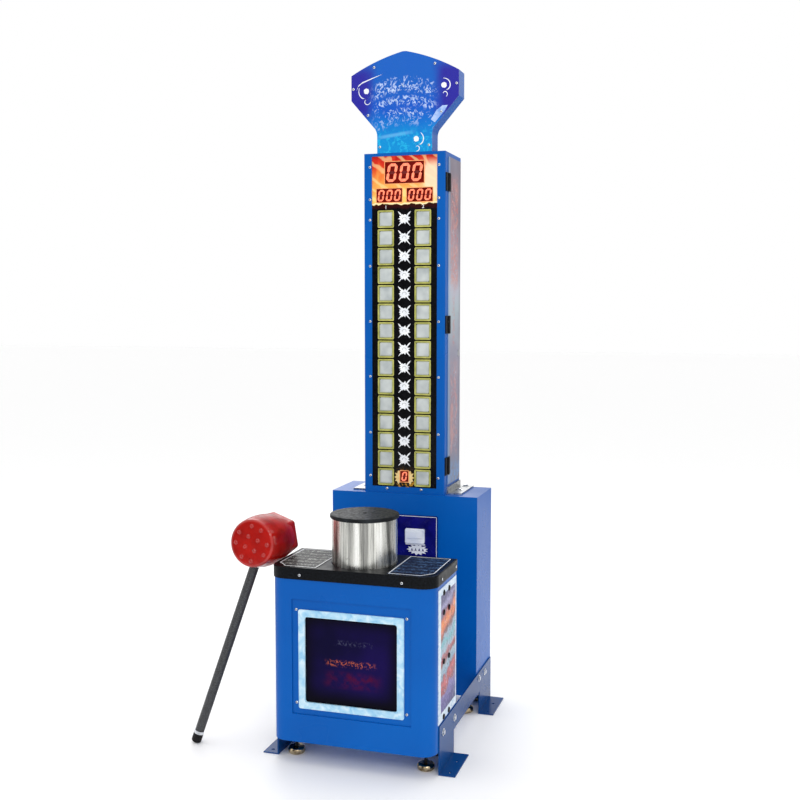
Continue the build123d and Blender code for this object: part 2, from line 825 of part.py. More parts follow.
board_standoff = 12
board_x = half_width - sheet - board_standoff
board_front_y = cabinet_front_y + 30
board_back_y = board_front_y + 150
board_bottom = floor_gap + 348
board_top = board_bottom + 220
chip_height = 4
with BuildPart() as control_board:
    block(
        (board_x, board_front_y, board_bottom),
        (board_x + light_board_thickness, board_back_y, board_top),
    )
    for along, up, size in ((30, 50, 24), (90, 140, 30), (40, 170, 14), (120, 50, 18)):
        block(
            (board_x - chip_height, board_front_y + along - size / 2, board_bottom + up - size / 2),
            (board_x, board_front_y + along + size / 2, board_bottom + up + size / 2),
        )
    with Locations(*facing(RIGHT, [
        (board_x, post_y, post_z)
        for post_y in (board_front_y + 6, board_back_y - 6)
        for post_z in (board_bottom + 6, board_top - 6)
    ])):
        Cylinder(3, board_standoff, align=(Align.CENTER, Align.CENTER, Align.MIN))
pieces["control_board"] = control_board

with BuildPart() as speaker:
    with Locations((speaker_x, speaker_y, floor_gap + sheet)):
        Cylinder(38, 4, align=(Align.CENTER, Align.CENTER, Align.MIN))
        Cylinder(30, 4, align=(Align.CENTER, Align.CENTER, Align.MIN), mode=Mode.SUBTRACT)
    with Locations((speaker_x, speaker_y, floor_gap + sheet + 4)):
        Cone(34, 18, 16, align=(Align.CENTER, Align.CENTER, Align.MIN))
    with Locations((speaker_x, speaker_y, floor_gap + sheet + 20)):
        Cylinder(22, 14, align=(Align.CENTER, Align.CENTER, Align.MIN))
pieces["speaker"] = speaker

socket_depth = 16
socket_half_width = 12
socket_half_height = 9
pin_spacing = 7
pin_length = 9
inlet_play = 0.2
inlet_lip = 3
inlet_face_y = back_y + 2
inlet_low_z = inlet_z - inlet_height / 2
inlet_high_z = inlet_z + inlet_height / 2
rocker_low_z = inlet_z - rocker_height / 2
rocker_high_z = inlet_z + rocker_height / 2
rocker_tilt = 8
rocker_pin_r = 1.5
rocker_pin_play = 0.05
rocker_pivot = facing(RIGHT, [(rocker_x, back_y, inlet_z)])
with BuildPart() as power_inlet:
    block(
        (inlet_x - inlet_width / 2 + inlet_play, back_y - 20, inlet_low_z + inlet_play),
        (inlet_x + inlet_width / 2 - inlet_play, back_y, inlet_high_z - inlet_play),
    )
    block(
        (inlet_x - inlet_width / 2 - inlet_lip, back_y, inlet_low_z - inlet_lip),
        (inlet_x + inlet_width / 2 + inlet_lip, inlet_face_y, inlet_high_z + inlet_lip),
    )
    block(
        (inlet_x - socket_half_width, inlet_face_y - socket_depth, inlet_z - socket_half_height),
        (inlet_x + socket_half_width, inlet_face_y + 1, inlet_z + socket_half_height),
        Mode.SUBTRACT,
    )
    with Locations(*facing(BACK, [
        (inlet_x - pin_spacing, inlet_face_y - socket_depth, inlet_z - 2),
        (inlet_x, inlet_face_y - socket_depth, inlet_z + 2),
        (inlet_x + pin_spacing, inlet_face_y - socket_depth, inlet_z - 2),
    ])):
        Box(2, 4, pin_length, align=(Align.CENTER, Align.CENTER, Align.MIN))
    block(
        (rocker_x - rocker_width / 2 + inlet_play, back_y - 14, rocker_low_z + inlet_play),
        (rocker_x + rocker_width / 2 - inlet_play, back_y, rocker_high_z - inlet_play),
    )
    block(
        (rocker_x - rocker_width / 2 - inlet_lip, back_y, rocker_low_z - inlet_lip),
        (rocker_x + rocker_width / 2 + inlet_lip, inlet_face_y, rocker_high_z + inlet_lip),
    )
    block(
        (rocker_x - rocker_width / 2 + 2, back_y - 10, rocker_low_z + 2),
        (rocker_x + rocker_width / 2 - 2, inlet_face_y + 1, rocker_high_z - 2),
        Mode.SUBTRACT,
    )
    drill(rocker_pivot, rocker_pin_r + rocker_pin_play, rocker_width - 1)
pieces["power_inlet"] = power_inlet

with BuildPart() as power_rocker:
    with Locations(Location((rocker_x, back_y, inlet_z), (rocker_tilt, 0, 0))):
        with Locations((0, 1, 0)):
            Box(rocker_width - 5, 6, rocker_height - 7)
    with Locations(*rocker_pivot):
        Cylinder(rocker_pin_r, rocker_width - 1.5)
pieces["power_rocker"] = power_rocker

# ---------------------------------------------------------------- hinges
# One leaf hinge in its own frame: the wall is the plane x = 0, its outside is +X, the fixed leaf
# is on the -Y side of the axis and the moving leaf on the +Y side, and Z runs along the axis.
hinge_length = 60
hinge_leaf = 24
hinge_leaf_thickness = 2
knuckle_r = 4.5
hinge_pin_r = 2
pin_play = 0.05
axis_out = 5.3
knuckle_clear = 0.6
segment_gap = 0.3
segment = hinge_length / 3
leaf_front_x = door_gap + door_sheet


def add_knuckles(spans):
    """Knuckle barrels over the given stretches of the axis, bored for the pin later."""
    for low, high in spans:
        with Locations((axis_out, 0, low)):
            Cylinder(knuckle_r, high - low, align=(Align.CENTER, Align.CENTER, Align.MIN))


fixed_spans = (
    (-hinge_length / 2, -segment / 2 - segment_gap),
    (segment / 2 + segment_gap, hinge_length / 2),
)
with BuildPart() as fixed_leaf:
    leaf_end_y = -knuckle_r - knuckle_clear
    block(
        (0, leaf_end_y - hinge_leaf, -hinge_length / 2),
        (leaf_front_x + hinge_leaf_thickness, leaf_end_y, hinge_length / 2),
    )
    for low, high in fixed_spans:
        block((1, leaf_end_y, low), (leaf_front_x + hinge_leaf_thickness, 0, high))
    add_knuckles(fixed_spans)
    drill([(axis_out, 0, 0)], hinge_pin_r, 2 * hinge_length)

with BuildPart() as moving_leaf:
    leaf_start_y = knuckle_r + knuckle_clear
    moving_span = (-segment / 2, segment / 2)
    block(
        (leaf_front_x, leaf_start_y, -hinge_length / 2),
        (leaf_front_x + hinge_leaf_thickness, leaf_start_y + hinge_leaf, hinge_length / 2),
    )
    block(
        (leaf_front_x, 0, moving_span[0]),
        (leaf_front_x + hinge_leaf_thickness, leaf_start_y, moving_span[1]),
    )
    add_knuckles([moving_span])
    drill([(axis_out, 0, 0)], hinge_pin_r + pin_play, 2 * hinge_length)

with BuildPart() as hinge_pin:
    with Locations((axis_out, 0, -hinge_length / 2)):
        Cylinder(hinge_pin_r, hinge_length, align=(Align.CENTER, Align.CENTER, Align.MIN))

# ---------------------------------------------------------------- cabinet service door
door_hinge_x = door_opening_half_width + door_lap + knuckle_r + knuckle_clear
cabinet_door_right_x = door_hinge_x - knuckle_r - knuckle_clear
cabinet_hinge_heights = (door_opening_bottom + 90, door_opening_top - 90)
cabinet_hinge_locations = [
    Location((door_hinge_x, back_y, height), (0, 0, 90)) for height in cabinet_hinge_heights
]
lock_r = 9
lock_play = 0.1
lock_head_r = 12
lock_head_height = 3
cam_length = 34
cam_width = 14
cam_thickness = 3
cabinet_lock_z = (door_opening_bottom + door_opening_top) / 2 - 2
cabinet_lock_point = (-door_opening_half_width + 20, back_y + door_gap + door_sheet, cabinet_lock_z)
vent_rows = 8
vent_z = door_opening_top - 88

with BuildPart() as cabinet_door:
    block(
        (-door_opening_half_width - door_lap, back_y + door_gap, door_opening_bottom - door_lap),
        (cabinet_door_right_x, back_y + door_gap + door_sheet, door_opening_top + door_lap),
    )
    drill(facing(BACK, [cabinet_lock_point]), lock_r + lock_play)
    with Locations(Plane(origin=(0, back_y, vent_z), z_dir=BACK)):
        with GridLocations(0, 14, 1, vent_rows):
            Box(160, 5, through, mode=Mode.SUBTRACT)
pieces["cabinet_door"] = cabinet_door

with BuildPart() as cabinet_hinge_moving:
    with Locations(*cabinet_hinge_locations):
        add(moving_leaf.part)
pieces["cabinet_hinge_moving"] = cabinet_hinge_moving


# ---------------------------------------------------------------- cam locks
def cam_lock(place, cam_direction):
    """A lock barrel through a door, its head outside and its cam behind the door."""
    cam_depth = door_sheet + door_gap + sheet + 4
    with Locations(place):
        Cylinder(lock_head_r, lock_head_height, align=(Align.CENTER, Align.CENTER, Align.MIN))
        Cylinder(
            lock_r, cam_depth + cam_thickness, align=(Align.CENTER, Align.CENTER, Align.MAX)
        )
        Box(2, 10, 2 * lock_head_height, mode=Mode.SUBTRACT)
        with Locations((0, cam_direction * (cam_length - cam_width) / 2, -cam_depth)):
            Box(
                cam_width, cam_length, cam_thickness, align=(Align.CENTER, Align.CENTER, Align.MAX)
            )


with BuildPart() as cabinet_lock:
    cam_lock(Plane(origin=cabinet_lock_point, x_dir=LEFT, z_dir=BACK), 1)
pieces["cabinet_lock"] = cabinet_lock

# ---------------------------------------------------------------- tower
frame_border = 28
panel_bottom_opening = cabinet_height + 22
panel_top_opening = tower_top - 10
door_front_gap = 32
door_bottom = cabinet_height + 32
tower_door_top = tower_top - 14
tower_door_middle = (door_bottom + tower_door_top) / 2
tower_opening_margin = 12
tower_hinge_y = tower_front_y + door_front_gap
tower_door_front_y = tower_hinge_y + knuckle_r + knuckle_clear
tower_door_back_y = tower_back_y - 8
tower_hinge_heights = (door_bottom + 66, tower_door_middle - 7, tower_door_top - 86)
tower_hinge_locations = [Location((half_tower, tower_hinge_y, height)) for height in tower_hinge_heights]
tower_opening_back_y = tower_door_back_y - tower_opening_margin
tower_lock_point = (
    half_tower + door_gap + door_sheet,
    tower_opening_back_y - 20,
    tower_door_middle - 109,
)
frame_screw_x = half_tower - 21.5
frame_screw_heights = [cabinet_height + up for up in (58, 208, 402, 590, 778)] + [
    tower_top - down for down in (222, 154, 45)
]
frame_screw_places = facing(FRONT, both_sides(
    [(frame_screw_x, tower_front_y, height) for height in frame_screw_heights]
    + [(61, tower_front_y, cabinet_height + 15)]
))

with BuildPart() as tower_shell:
    block((-half_tower, tower_front_y, cabinet_height), (half_tower, tower_back_y, tower_top))
    fillet(tower_shell.edges().filter_by(Axis.Z).group_by(Axis.Y)[0], 4)
    block(
        (-half_tower + sheet, tower_front_y + sheet, cabinet_height + sheet),
        (half_tower - sheet, tower_back_y - sheet, tower_top - sheet),
        Mode.SUBTRACT,
    )
    block(
        (-half_tower + frame_border, tower_front_y - 1, panel_bottom_opening),
        (half_tower - frame_border, tower_front_y + through, panel_top_opening),
        Mode.SUBTRACT,
    )
    block(
        (
            half_tower - through,
            tower_door_front_y + tower_opening_margin,
            door_bottom + tower_opening_margin,
        ),
        (half_tower + 1, tower_opening_back_y, tower_door_top - tower_opening_margin),
        Mode.SUBTRACT,
    )
    drill(frame_screw_places, pan_shank_r + hole_clearance)
pieces["tower_shell"] = tower_shell

with BuildPart() as tower_flanges:
    for reach, height in ((flange_width, flange_thickness), (flange_thickness, flange_height)):
        twin_blocks(
            (half_tower, flange_front_y, cabinet_height),
            (half_tower + reach, tower_back_y, cabinet_height + height),
        )
    drill(flange_bolt_points, hex_shank_r + hole_clearance)
pieces["tower_flanges"] = tower_flanges

# display panel with its windows
panel_thickness = 3
panel_half_width = half_tower - sheet - 4
panel_y = tower_front_y + sheet
main_display = (-69, tower_top - 102, 69, tower_top - 29)
left_display = (-99, tower_top - 164, -8, tower_top - 118)
right_display = (8, tower_top - 164, 99, tower_top - 118)
credit_display = (-15, cabinet_height + 40, 15, cabinet_height + 78)
display_recess = 0.5
display_depth = 14
display_play = 0.2


def display_block(spot, front, back, grow, mode=Mode.ADD):
    """A box filling a display window, grown or shrunk on all four sides."""
    left, bottom, right, top = spot
    block((left - grow, front, bottom - grow), (right + grow, back, top + grow), mode)


with BuildPart() as display_panel:
    block(
        (-panel_half_width, panel_y, cabinet_height + sheet + 4),
        (panel_half_width, panel_y + panel_thickness, tower_top - sheet - 2),
    )
    for spot in (main_display, left_display, right_display, credit_display):
        display_block(spot, panel_y - 1, panel_y + 10, 0, Mode.SUBTRACT)
    drill(frame_screw_places, pan_shank_r + hole_clearance)
pieces["display_panel"] = display_panel

with BuildPart() as score_displays:
    for spot in (main_display, left_display, right_display, credit_display):
        display_block(spot, panel_y + display_recess, panel_y + display_depth, -display_play)
pieces["score_displays"] = score_displays

# lamps, two columns of rows
lamp_rows = 15
lamp_x = 65.5
lamp_width = 57
lamp_border = 5
lamp_depth = 3
lamp_gap = 4.9
first_lamp_z = tower_top - 220
last_lamp_z = cabinet_height + 55.4
lamp_pitch = (first_lamp_z - last_lamp_z) / (lamp_rows - 1)
lamp_height = lamp_pitch - lamp_gap
lamp_column_middle = (first_lamp_z + last_lamp_z) / 2
lamp_plane = Plane(origin=(0, panel_y, lamp_column_middle), x_dir=RIGHT, z_dir=FRONT)

with BuildPart() as lamp_bezels:
    with BuildSketch(lamp_plane):
        with GridLocations(2 * lamp_x, lamp_pitch, 2, lamp_rows):
            RectangleRounded(lamp_width, lamp_height, 4)
            RectangleRounded(
                lamp_width - 2 * lamp_border, lamp_height - 2 * lamp_border, 3, mode=Mode.SUBTRACT
            )
    extrude(amount=lamp_depth)
pieces["lamp_bezels"] = lamp_bezels

with BuildPart() as lamp_lenses:
    with BuildSketch(lamp_plane):
        with GridLocations(2 * lamp_x, lamp_pitch, 2, lamp_rows):
            RectangleRounded(
                lamp_width - 2 * lamp_border - 0.2, lamp_height - 2 * lamp_border - 0.2, 2.9
            )
    extrude(amount=lamp_depth - 1)
pieces["lamp_lenses"] = lamp_lenses

# boards that light the lamps and the pedestal window
lamp_board_y = panel_y + panel_thickness + 6
lamp_board_half_width = lamp_x + 30
lamp_board_bottom = lamp_column_middle - lamp_pitch * lamp_rows / 2 + lamp_height + 4
with BuildPart() as light_boards:
    block(
        (-window_half_width, light_board_y, window_bottom),
        (window_half_width, light_board_y + light_board_thickness, window_top),
    )
    with Locations(Plane(origin=(0, light_board_y, (window_bottom + window_top) / 2), z_dir=FRONT)):
        with GridLocations(44, 44, 6, 6):
            Box(lamp_chip, lamp_chip, 2, align=(Align.CENTER, Align.CENTER, Align.MIN))
    with Locations(*facing(FRONT, both_sides([
        (window_half_width - 6, light_board_y, window_bottom + 6),
        (window_half_width - 6, light_board_y, window_top - 6),
    ]))):
        Cylinder(3, 8, align=(Align.CENTER, Align.CENTER, Align.MIN))
    block(
        (-lamp_board_half_width, lamp_board_y, lamp_board_bottom),
        (lamp_board_half_width, lamp_board_y + light_board_thickness, first_lamp_z + 30),
    )
    with Locations(Plane(origin=(0, lamp_board_y, lamp_column_middle), x_dir=RIGHT, z_dir=FRONT)):
        with GridLocations(2 * lamp_x, 6 * lamp_pitch, 2, 3):
            Cylinder(3, 6, align=(Align.CENTER, Align.CENTER, Align.MIN))
pieces["light_boards"] = light_boards

# tower door
with BuildPart() as tower_door:
    block(
        (half_tower + door_gap, tower_door_front_y, door_bottom),
        (half_tower + door_gap + door_sheet, tower_door_back_y, tower_door_top),
    )
    drill(facing(RIGHT, [tower_lock_point]), lock_r + lock_play)
pieces["tower_door"] = tower_door

with BuildPart() as tower_lock:
    cam_lock(Plane(origin=tower_lock_point, x_dir=BACK, z_dir=RIGHT), 1)
pieces["tower_lock"] = tower_lock

with BuildPart() as fixed_hinge_leaves:
    with Locations(*tower_hinge_locations, *cabinet_hinge_locations):
        add(fixed_leaf.part)
pieces["fixed_hinge_leaves"] = fixed_hinge_leaves

with BuildPart() as tower_hinge_moving:
    with Locations(*tower_hinge_locations):
        add(moving_leaf.part)
pieces["tower_hinge_moving"] = tower_hinge_moving

with BuildPart() as hinge_pins:
    with Locations(*tower_hinge_locations, *cabinet_hinge_locations):
        add(hinge_pin.part)
pieces["hinge_pins"] = hinge_pins

# ---------------------------------------------------------------- header
header_depth = 70
header_half_width = 187.5
neck_half_width = 96
neck_top = tower_top + 57
shoulder = (neck_half_width + 8, neck_top + 25)
corner_low = machine_height - 154
corner_high = machine_height - 71
apex_half_width = 14
header_face_thickness = 3
header_wall = 2
header_lip = 18
header_front_y = tower_front_y + 1
header_back_y = header_front_y + header_face_thickness + header_depth


def header_outline(inset):
    """The header's outline as a flat face, its Y being height, moved in by the inset."""
    arc_x = header_half_width * 0.54
    arc_z = (corner_high + machine_height) / 2 + 6
    apex_z = machine_height - 2
    with BuildSketch() as outline:
        with BuildLine():
            Polyline((0, tower_top), (neck_half_width, tower_top), (neck_half_width, neck_top))
            TangentArc((neck_half_width, neck_top), shoulder, tangent=(0, 1))
            Polyline(shoulder, (header_half_width, corner_low), (header_half_width, corner_high))
            ThreePointArc(
                (header_half_width, corner_high), (arc_x, arc_z), (apex_half_width, apex_z)
            )
            ThreePointArc(
                (apex_half_width, apex_z), (apex_half_width / 2, apex_z + 1.5), (0, machine_height)
            )
            mirror(about=Plane.YZ)
        make_face()
        if inset:
            offset(amount=-inset, kind=Kind.INTERSECTION, mode=Mode.REPLACE)
    return outline.sketch


header_screw_places = facing(FRONT, both_sides([
    (header_half_width - 7.5, header_front_y, machine_height - 115),
    (106, header_front_y, machine_height - 47),
    (128, header_front_y, machine_height - 204),
    (neck_half_width - 10, header_front_y, tower_top + 21),
]))

with BuildPart() as header_shell:
    with BuildSketch(Plane.XZ.offset(-header_back_y)):
        add(header_outline(0))
    extrude(amount=header_depth)
    with BuildSketch(Plane.XZ.offset(header_wall - header_back_y)):
        add(header_outline(header_wall))
    extrude(amount=header_depth - 2 * header_wall, mode=Mode.SUBTRACT)
    with BuildSketch(Plane.XZ.offset(2 * header_wall + header_depth / 2 - header_back_y)):
        add(header_outline(header_lip))
    extrude(amount=header_depth, mode=Mode.SUBTRACT)
    drill(header_screw_places, pan_shank_r + hole_clearance)
pieces["header_shell"] = header_shell

with BuildPart() as header_face:
    with BuildSketch(Plane.XZ.offset(-(header_front_y + header_face_thickness))):
        add(header_outline(0))
    extrude(amount=header_face_thickness)
    drill(header_screw_places, pan_shank_r + hole_clearance)
pieces["header_face"] = header_face

header_light_height = 35
with BuildPart() as header_light:
    for half_length, down in ((140, 140), (70, 230)):
        block(
            (-half_length, header_back_y - header_wall - 12, machine_height - down),
            (half_length, header_back_y - header_wall, machine_height - down + header_light_height),
        )
pieces["header_light"] = header_light

# ---------------------------------------------------------------- mallet
# It leans on the left edge of the tabletop, its handle's end on the floor.
head_centre = Vector(-half_width - 65, front_y + 95, table_height + 54.5)
foot_point = Vector(-half_width - 294.5, front_y + 63.5, 5)
head_length = 180
face_to_handle = 78
face_r = 73
body_r = 82
body_bulge_at = 74
body_end_r = 75
flange_r = 81
flange_length = 62
head_heading = 4.4
nub_r = 8
nub_sunk = 3
nub_pitch = 34
handle_r = 15
collar_r = 16.5
collar_length = 10
cap_r = 16
cap_length = 30
cap_edge_r = 5

handle_axis = (head_centre - foot_point).normalized()
heading = Vector(math.sin(math.radians(head_heading)), math.cos(math.radians(head_heading)), 0)
head_axis = (heading - handle_axis * heading.dot(handle_axis)).normalized()
lean = math.acos(handle_axis.Z)
cap_drop = (cap_r - cap_edge_r) * math.sin(lean) + cap_edge_r - cap_edge_r * math.cos(lean)
foot_point = foot_point - handle_axis * ((foot_point.Z - cap_drop) / handle_axis.Z)
handle_length = (head_centre - foot_point).length
face_plane = Plane(origin=head_centre - head_axis * face_to_handle, x_dir=handle_axis, z_dir=-head_axis)
profile_plane = Plane(origin=face_plane.origin, x_dir=head_axis, z_dir=handle_axis.cross(head_axis))
body_end = head_length - flange_length / 2
foot_plane = Plane(origin=foot_point, x_dir=head_axis, z_dir=handle_axis)

nub_steps = (-1.5, -0.5, 0.5, 1.5)
nub_places = [
    (across * nub_pitch, along * nub_pitch)
    for across in nub_steps
    for along in nub_steps
    if abs(across) + abs(along) < 3
]

with BuildPart() as mallet_head:
    with BuildSketch(profile_plane):
        with BuildLine():
            Polyline((body_end, body_end_r), (body_end, 0), (0, 0), (0, face_r))
            ThreePointArc((0, face_r), (body_bulge_at, body_r), (body_end, body_end_r))
        make_face()
    revolve(axis=Axis(face_plane.origin, head_axis))
    fillet(mallet_head.faces().sort_by(Axis(head_centre, head_axis))[0].edges(), 9)
    with BuildSketch(face_plane.offset(-(head_length - flange_length))) as flange:
        RegularPolygon(flange_r, 6, major_radius=True, rotation=30)
        fillet(flange.vertices(), 12)
    extrude(amount=-flange_length)
    fillet(mallet_head.faces().sort_by(Axis(head_centre, head_axis))[-1].edges(), 8)
    with BuildSketch(foot_plane):
        Circle(handle_r)
    extrude(amount=handle_length, mode=Mode.SUBTRACT)
    with Locations(face_plane.offset(-nub_sunk)):
        with Locations(*nub_places):
            Sphere(nub_r)
pieces["mallet_head"] = mallet_head

with BuildPart() as mallet_handle:
    with BuildSketch(foot_plane.offset(cap_length)):
        Circle(handle_r)
    extrude(amount=handle_length - cap_length)
pieces["mallet_handle"] = mallet_handle

with BuildPart() as mallet_collar:
    with BuildSketch(foot_plane.offset(cap_length)):
        Circle(collar_r)
        Circle(handle_r, mode=Mode.SUBTRACT)
    extrude(amount=collar_length)
pieces["mallet_collar"] = mallet_collar

with BuildPart() as mallet_end_cap:
    with BuildSketch(foot_plane):
        Circle(cap_r)
    extrude(amount=cap_length)
    fillet(mallet_end_cap.edges().group_by(Axis(foot_point, handle_axis))[0], cap_edge_r)
pieces["mallet_end_cap"] = mallet_end_cap

# ---------------------------------------------------------------- fasteners
with BuildPart() as pan_head_screws:
    round_fasteners(
        window_screw_places
        + rear_screw_places
        + table_screw_places
        + frame_screw_places
        + header_screw_places,
        pan_head_r,
        pan_head_height,
        pan_shank_r,
        pan_shank_length,
    )
pieces["pan_head_screws"] = pan_head_screws

with BuildPart() as button_head_screws:
    round_fasteners(
        side_screw_places, button_head_r, button_head_height, button_shank_r, button_shank_length
    )
pieces["button_head_screws"] = button_head_screws

with BuildPart() as hex_bolts:
    for place in bracket_bolt_places + facing(UP, flange_bolt_points):
        with BuildSketch(place):
            RegularPolygon(hex_bolt_r, 6)
        extrude(amount=hex_bolt_height)
        with BuildSketch(place):
            Circle(hex_shank_r)
        extrude(amount=-hex_shank_length)
pieces["hex_bolts"] = hex_bolts

# ---------------------------------------------------------------- files
os.makedirs("parts", exist_ok=True)
for name, piece in pieces.items():
    piece.part.label = name
    export_step(piece.part, f"parts/{name}.step")
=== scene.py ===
import math
import random

import bmesh
import bpy
from mathutils import Matrix, Vector


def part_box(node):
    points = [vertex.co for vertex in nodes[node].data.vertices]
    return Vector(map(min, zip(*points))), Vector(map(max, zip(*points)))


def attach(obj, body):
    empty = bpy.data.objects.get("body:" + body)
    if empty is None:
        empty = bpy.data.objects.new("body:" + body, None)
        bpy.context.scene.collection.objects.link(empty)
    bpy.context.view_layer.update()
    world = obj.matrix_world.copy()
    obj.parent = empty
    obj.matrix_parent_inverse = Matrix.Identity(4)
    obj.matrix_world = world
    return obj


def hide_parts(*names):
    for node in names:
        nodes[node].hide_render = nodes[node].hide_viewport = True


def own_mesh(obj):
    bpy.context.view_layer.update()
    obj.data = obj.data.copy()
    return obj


# Looks of a hammer strength tester, built round its fixed frame. Metres, +Z up, the player at -Y.
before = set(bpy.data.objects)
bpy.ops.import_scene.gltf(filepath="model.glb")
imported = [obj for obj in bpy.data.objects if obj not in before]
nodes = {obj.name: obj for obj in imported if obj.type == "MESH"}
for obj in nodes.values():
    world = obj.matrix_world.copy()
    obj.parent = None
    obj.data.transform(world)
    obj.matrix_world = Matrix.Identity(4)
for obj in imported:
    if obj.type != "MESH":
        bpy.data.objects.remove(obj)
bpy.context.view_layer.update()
MM = 0.001

# ---------------------------------------------------------------- camera, lights and floor
CAMERA_PLACE = (1.0986, -3.3868, 1.4052)
CAMERA_YAW = 17.387
CAMERA_PITCH = 4.92
CAMERA_LENS = 49.19
SENSOR_WIDTH = 36
MACHINE_MIDDLE = (0, 0, 1.1)


def make_camera():
    camera = bpy.data.objects.new("camera", bpy.data.cameras.new("camera"))
    camera.data.lens = CAMERA_LENS
    camera.data.sensor_width = SENSOR_WIDTH
    camera.location = CAMERA_PLACE
    camera.rotation_euler = (math.radians(90 - CAMERA_PITCH), 0, math.radians(CAMERA_YAW))
    bpy.context.collection.objects.link(camera)
    bpy.context.scene.camera = camera


def towards(target, place, front):
    """The turn that points an object's front from its place to the target."""
    return (Vector(target) - Vector(place)).to_track_quat(front, "Y").to_euler()


def soft_light(name, place, target, size, power):
    """A square softbox that looks at the target."""
    light = bpy.data.objects.new(name, bpy.data.lights.new(name, "AREA"))
    light.data.size = size
    light.data.energy = power
    light.location = place
    light.rotation_euler = towards(target, place, "-Z")
    bpy.context.collection.objects.link(light)


def square(name, half):
    """A flat square on the ground, of this half width."""
    made = bpy.data.objects.new(name, bpy.data.meshes.new(name))
    corners = [(-half, -half, 0), (half, -half, 0), (half, half, 0), (-half, half, 0)]
    made.data.from_pydata(corners, [], [(0, 1, 2, 3)])
    bpy.context.collection.objects.link(made)
    return made


def reflector_card(name, place, size, shade):
    """A photographer's card, which only the reflections in glossy faces see."""
    card = square(name, size / 2)
    card.location = place
    card.rotation_euler = towards(MACHINE_MIDDLE, place, "Z")
    card.visible_camera = False
    card.visible_shadow = False
    card.visible_diffuse = False
    look = Look(name, color=(shade, shade, shade, 1), roughness=0.9, specular=0.0)
    card.data.materials.append(look.material)


def make_studio():
    world = bpy.data.worlds.new("studio")
    bpy.context.scene.world = world
    world.use_nodes = True
    world.node_tree.nodes["Background"].inputs["Color"].default_value = (1, 1, 1, 1)
    world.node_tree.nodes["Background"].inputs["Strength"].default_value = 1.0
    bpy.context.scene.view_settings.view_transform = "Standard"
    soft_light("key_light", (2.4, -4.4, 3.4), (0, 0, 1.0), 1.6, 46)
    soft_light("top_light", (-0.4, 0.2, 4.6), (0, 0, 0), 2.4, 30)
    soft_light("back_light", (-1.8, 3.8, 2.6), (0, 0, 1.0), 2.4, 30)
    reflector_card("front_card", (-2.3, -4.6, 1.5), 2.9, 0.03)
    reflector_card("drum_card", (2.65, 1.2, 0.8), 3.0, 0.01)
    reflector_card("side_card", (1.5, 4.9, 1.1), 3.0, 0.5)

    floor = square("floor", 30)
    look = Look("floor", color=(0.985, 0.985, 0.985, 1), roughness=0.6)
    floor.data.materials.append(look.material)


# ---------------------------------------------------------------- material kit
SOCKETS = {
    "color": "Base Color",
    "metallic": "Metallic",
    "roughness": "Roughness",
    "specular": "Specular IOR Level",
    "coat": "Coat Weight",
    "coat_roughness": "Coat Roughness",
    "glow_color": "Emission Color",
    "glow": "Emission Strength",
    "normal": "Normal",
}


def linear(level):
    """A display level of 0 to 255 as a shader level."""
    return ((level / 255 + 0.055) / 1.055) ** 2.4 if level > 10 else level / 3294


def ink(red, green, blue):
    """A display colour as a shader colour."""
    return linear(red), linear(green), linear(blue), 1


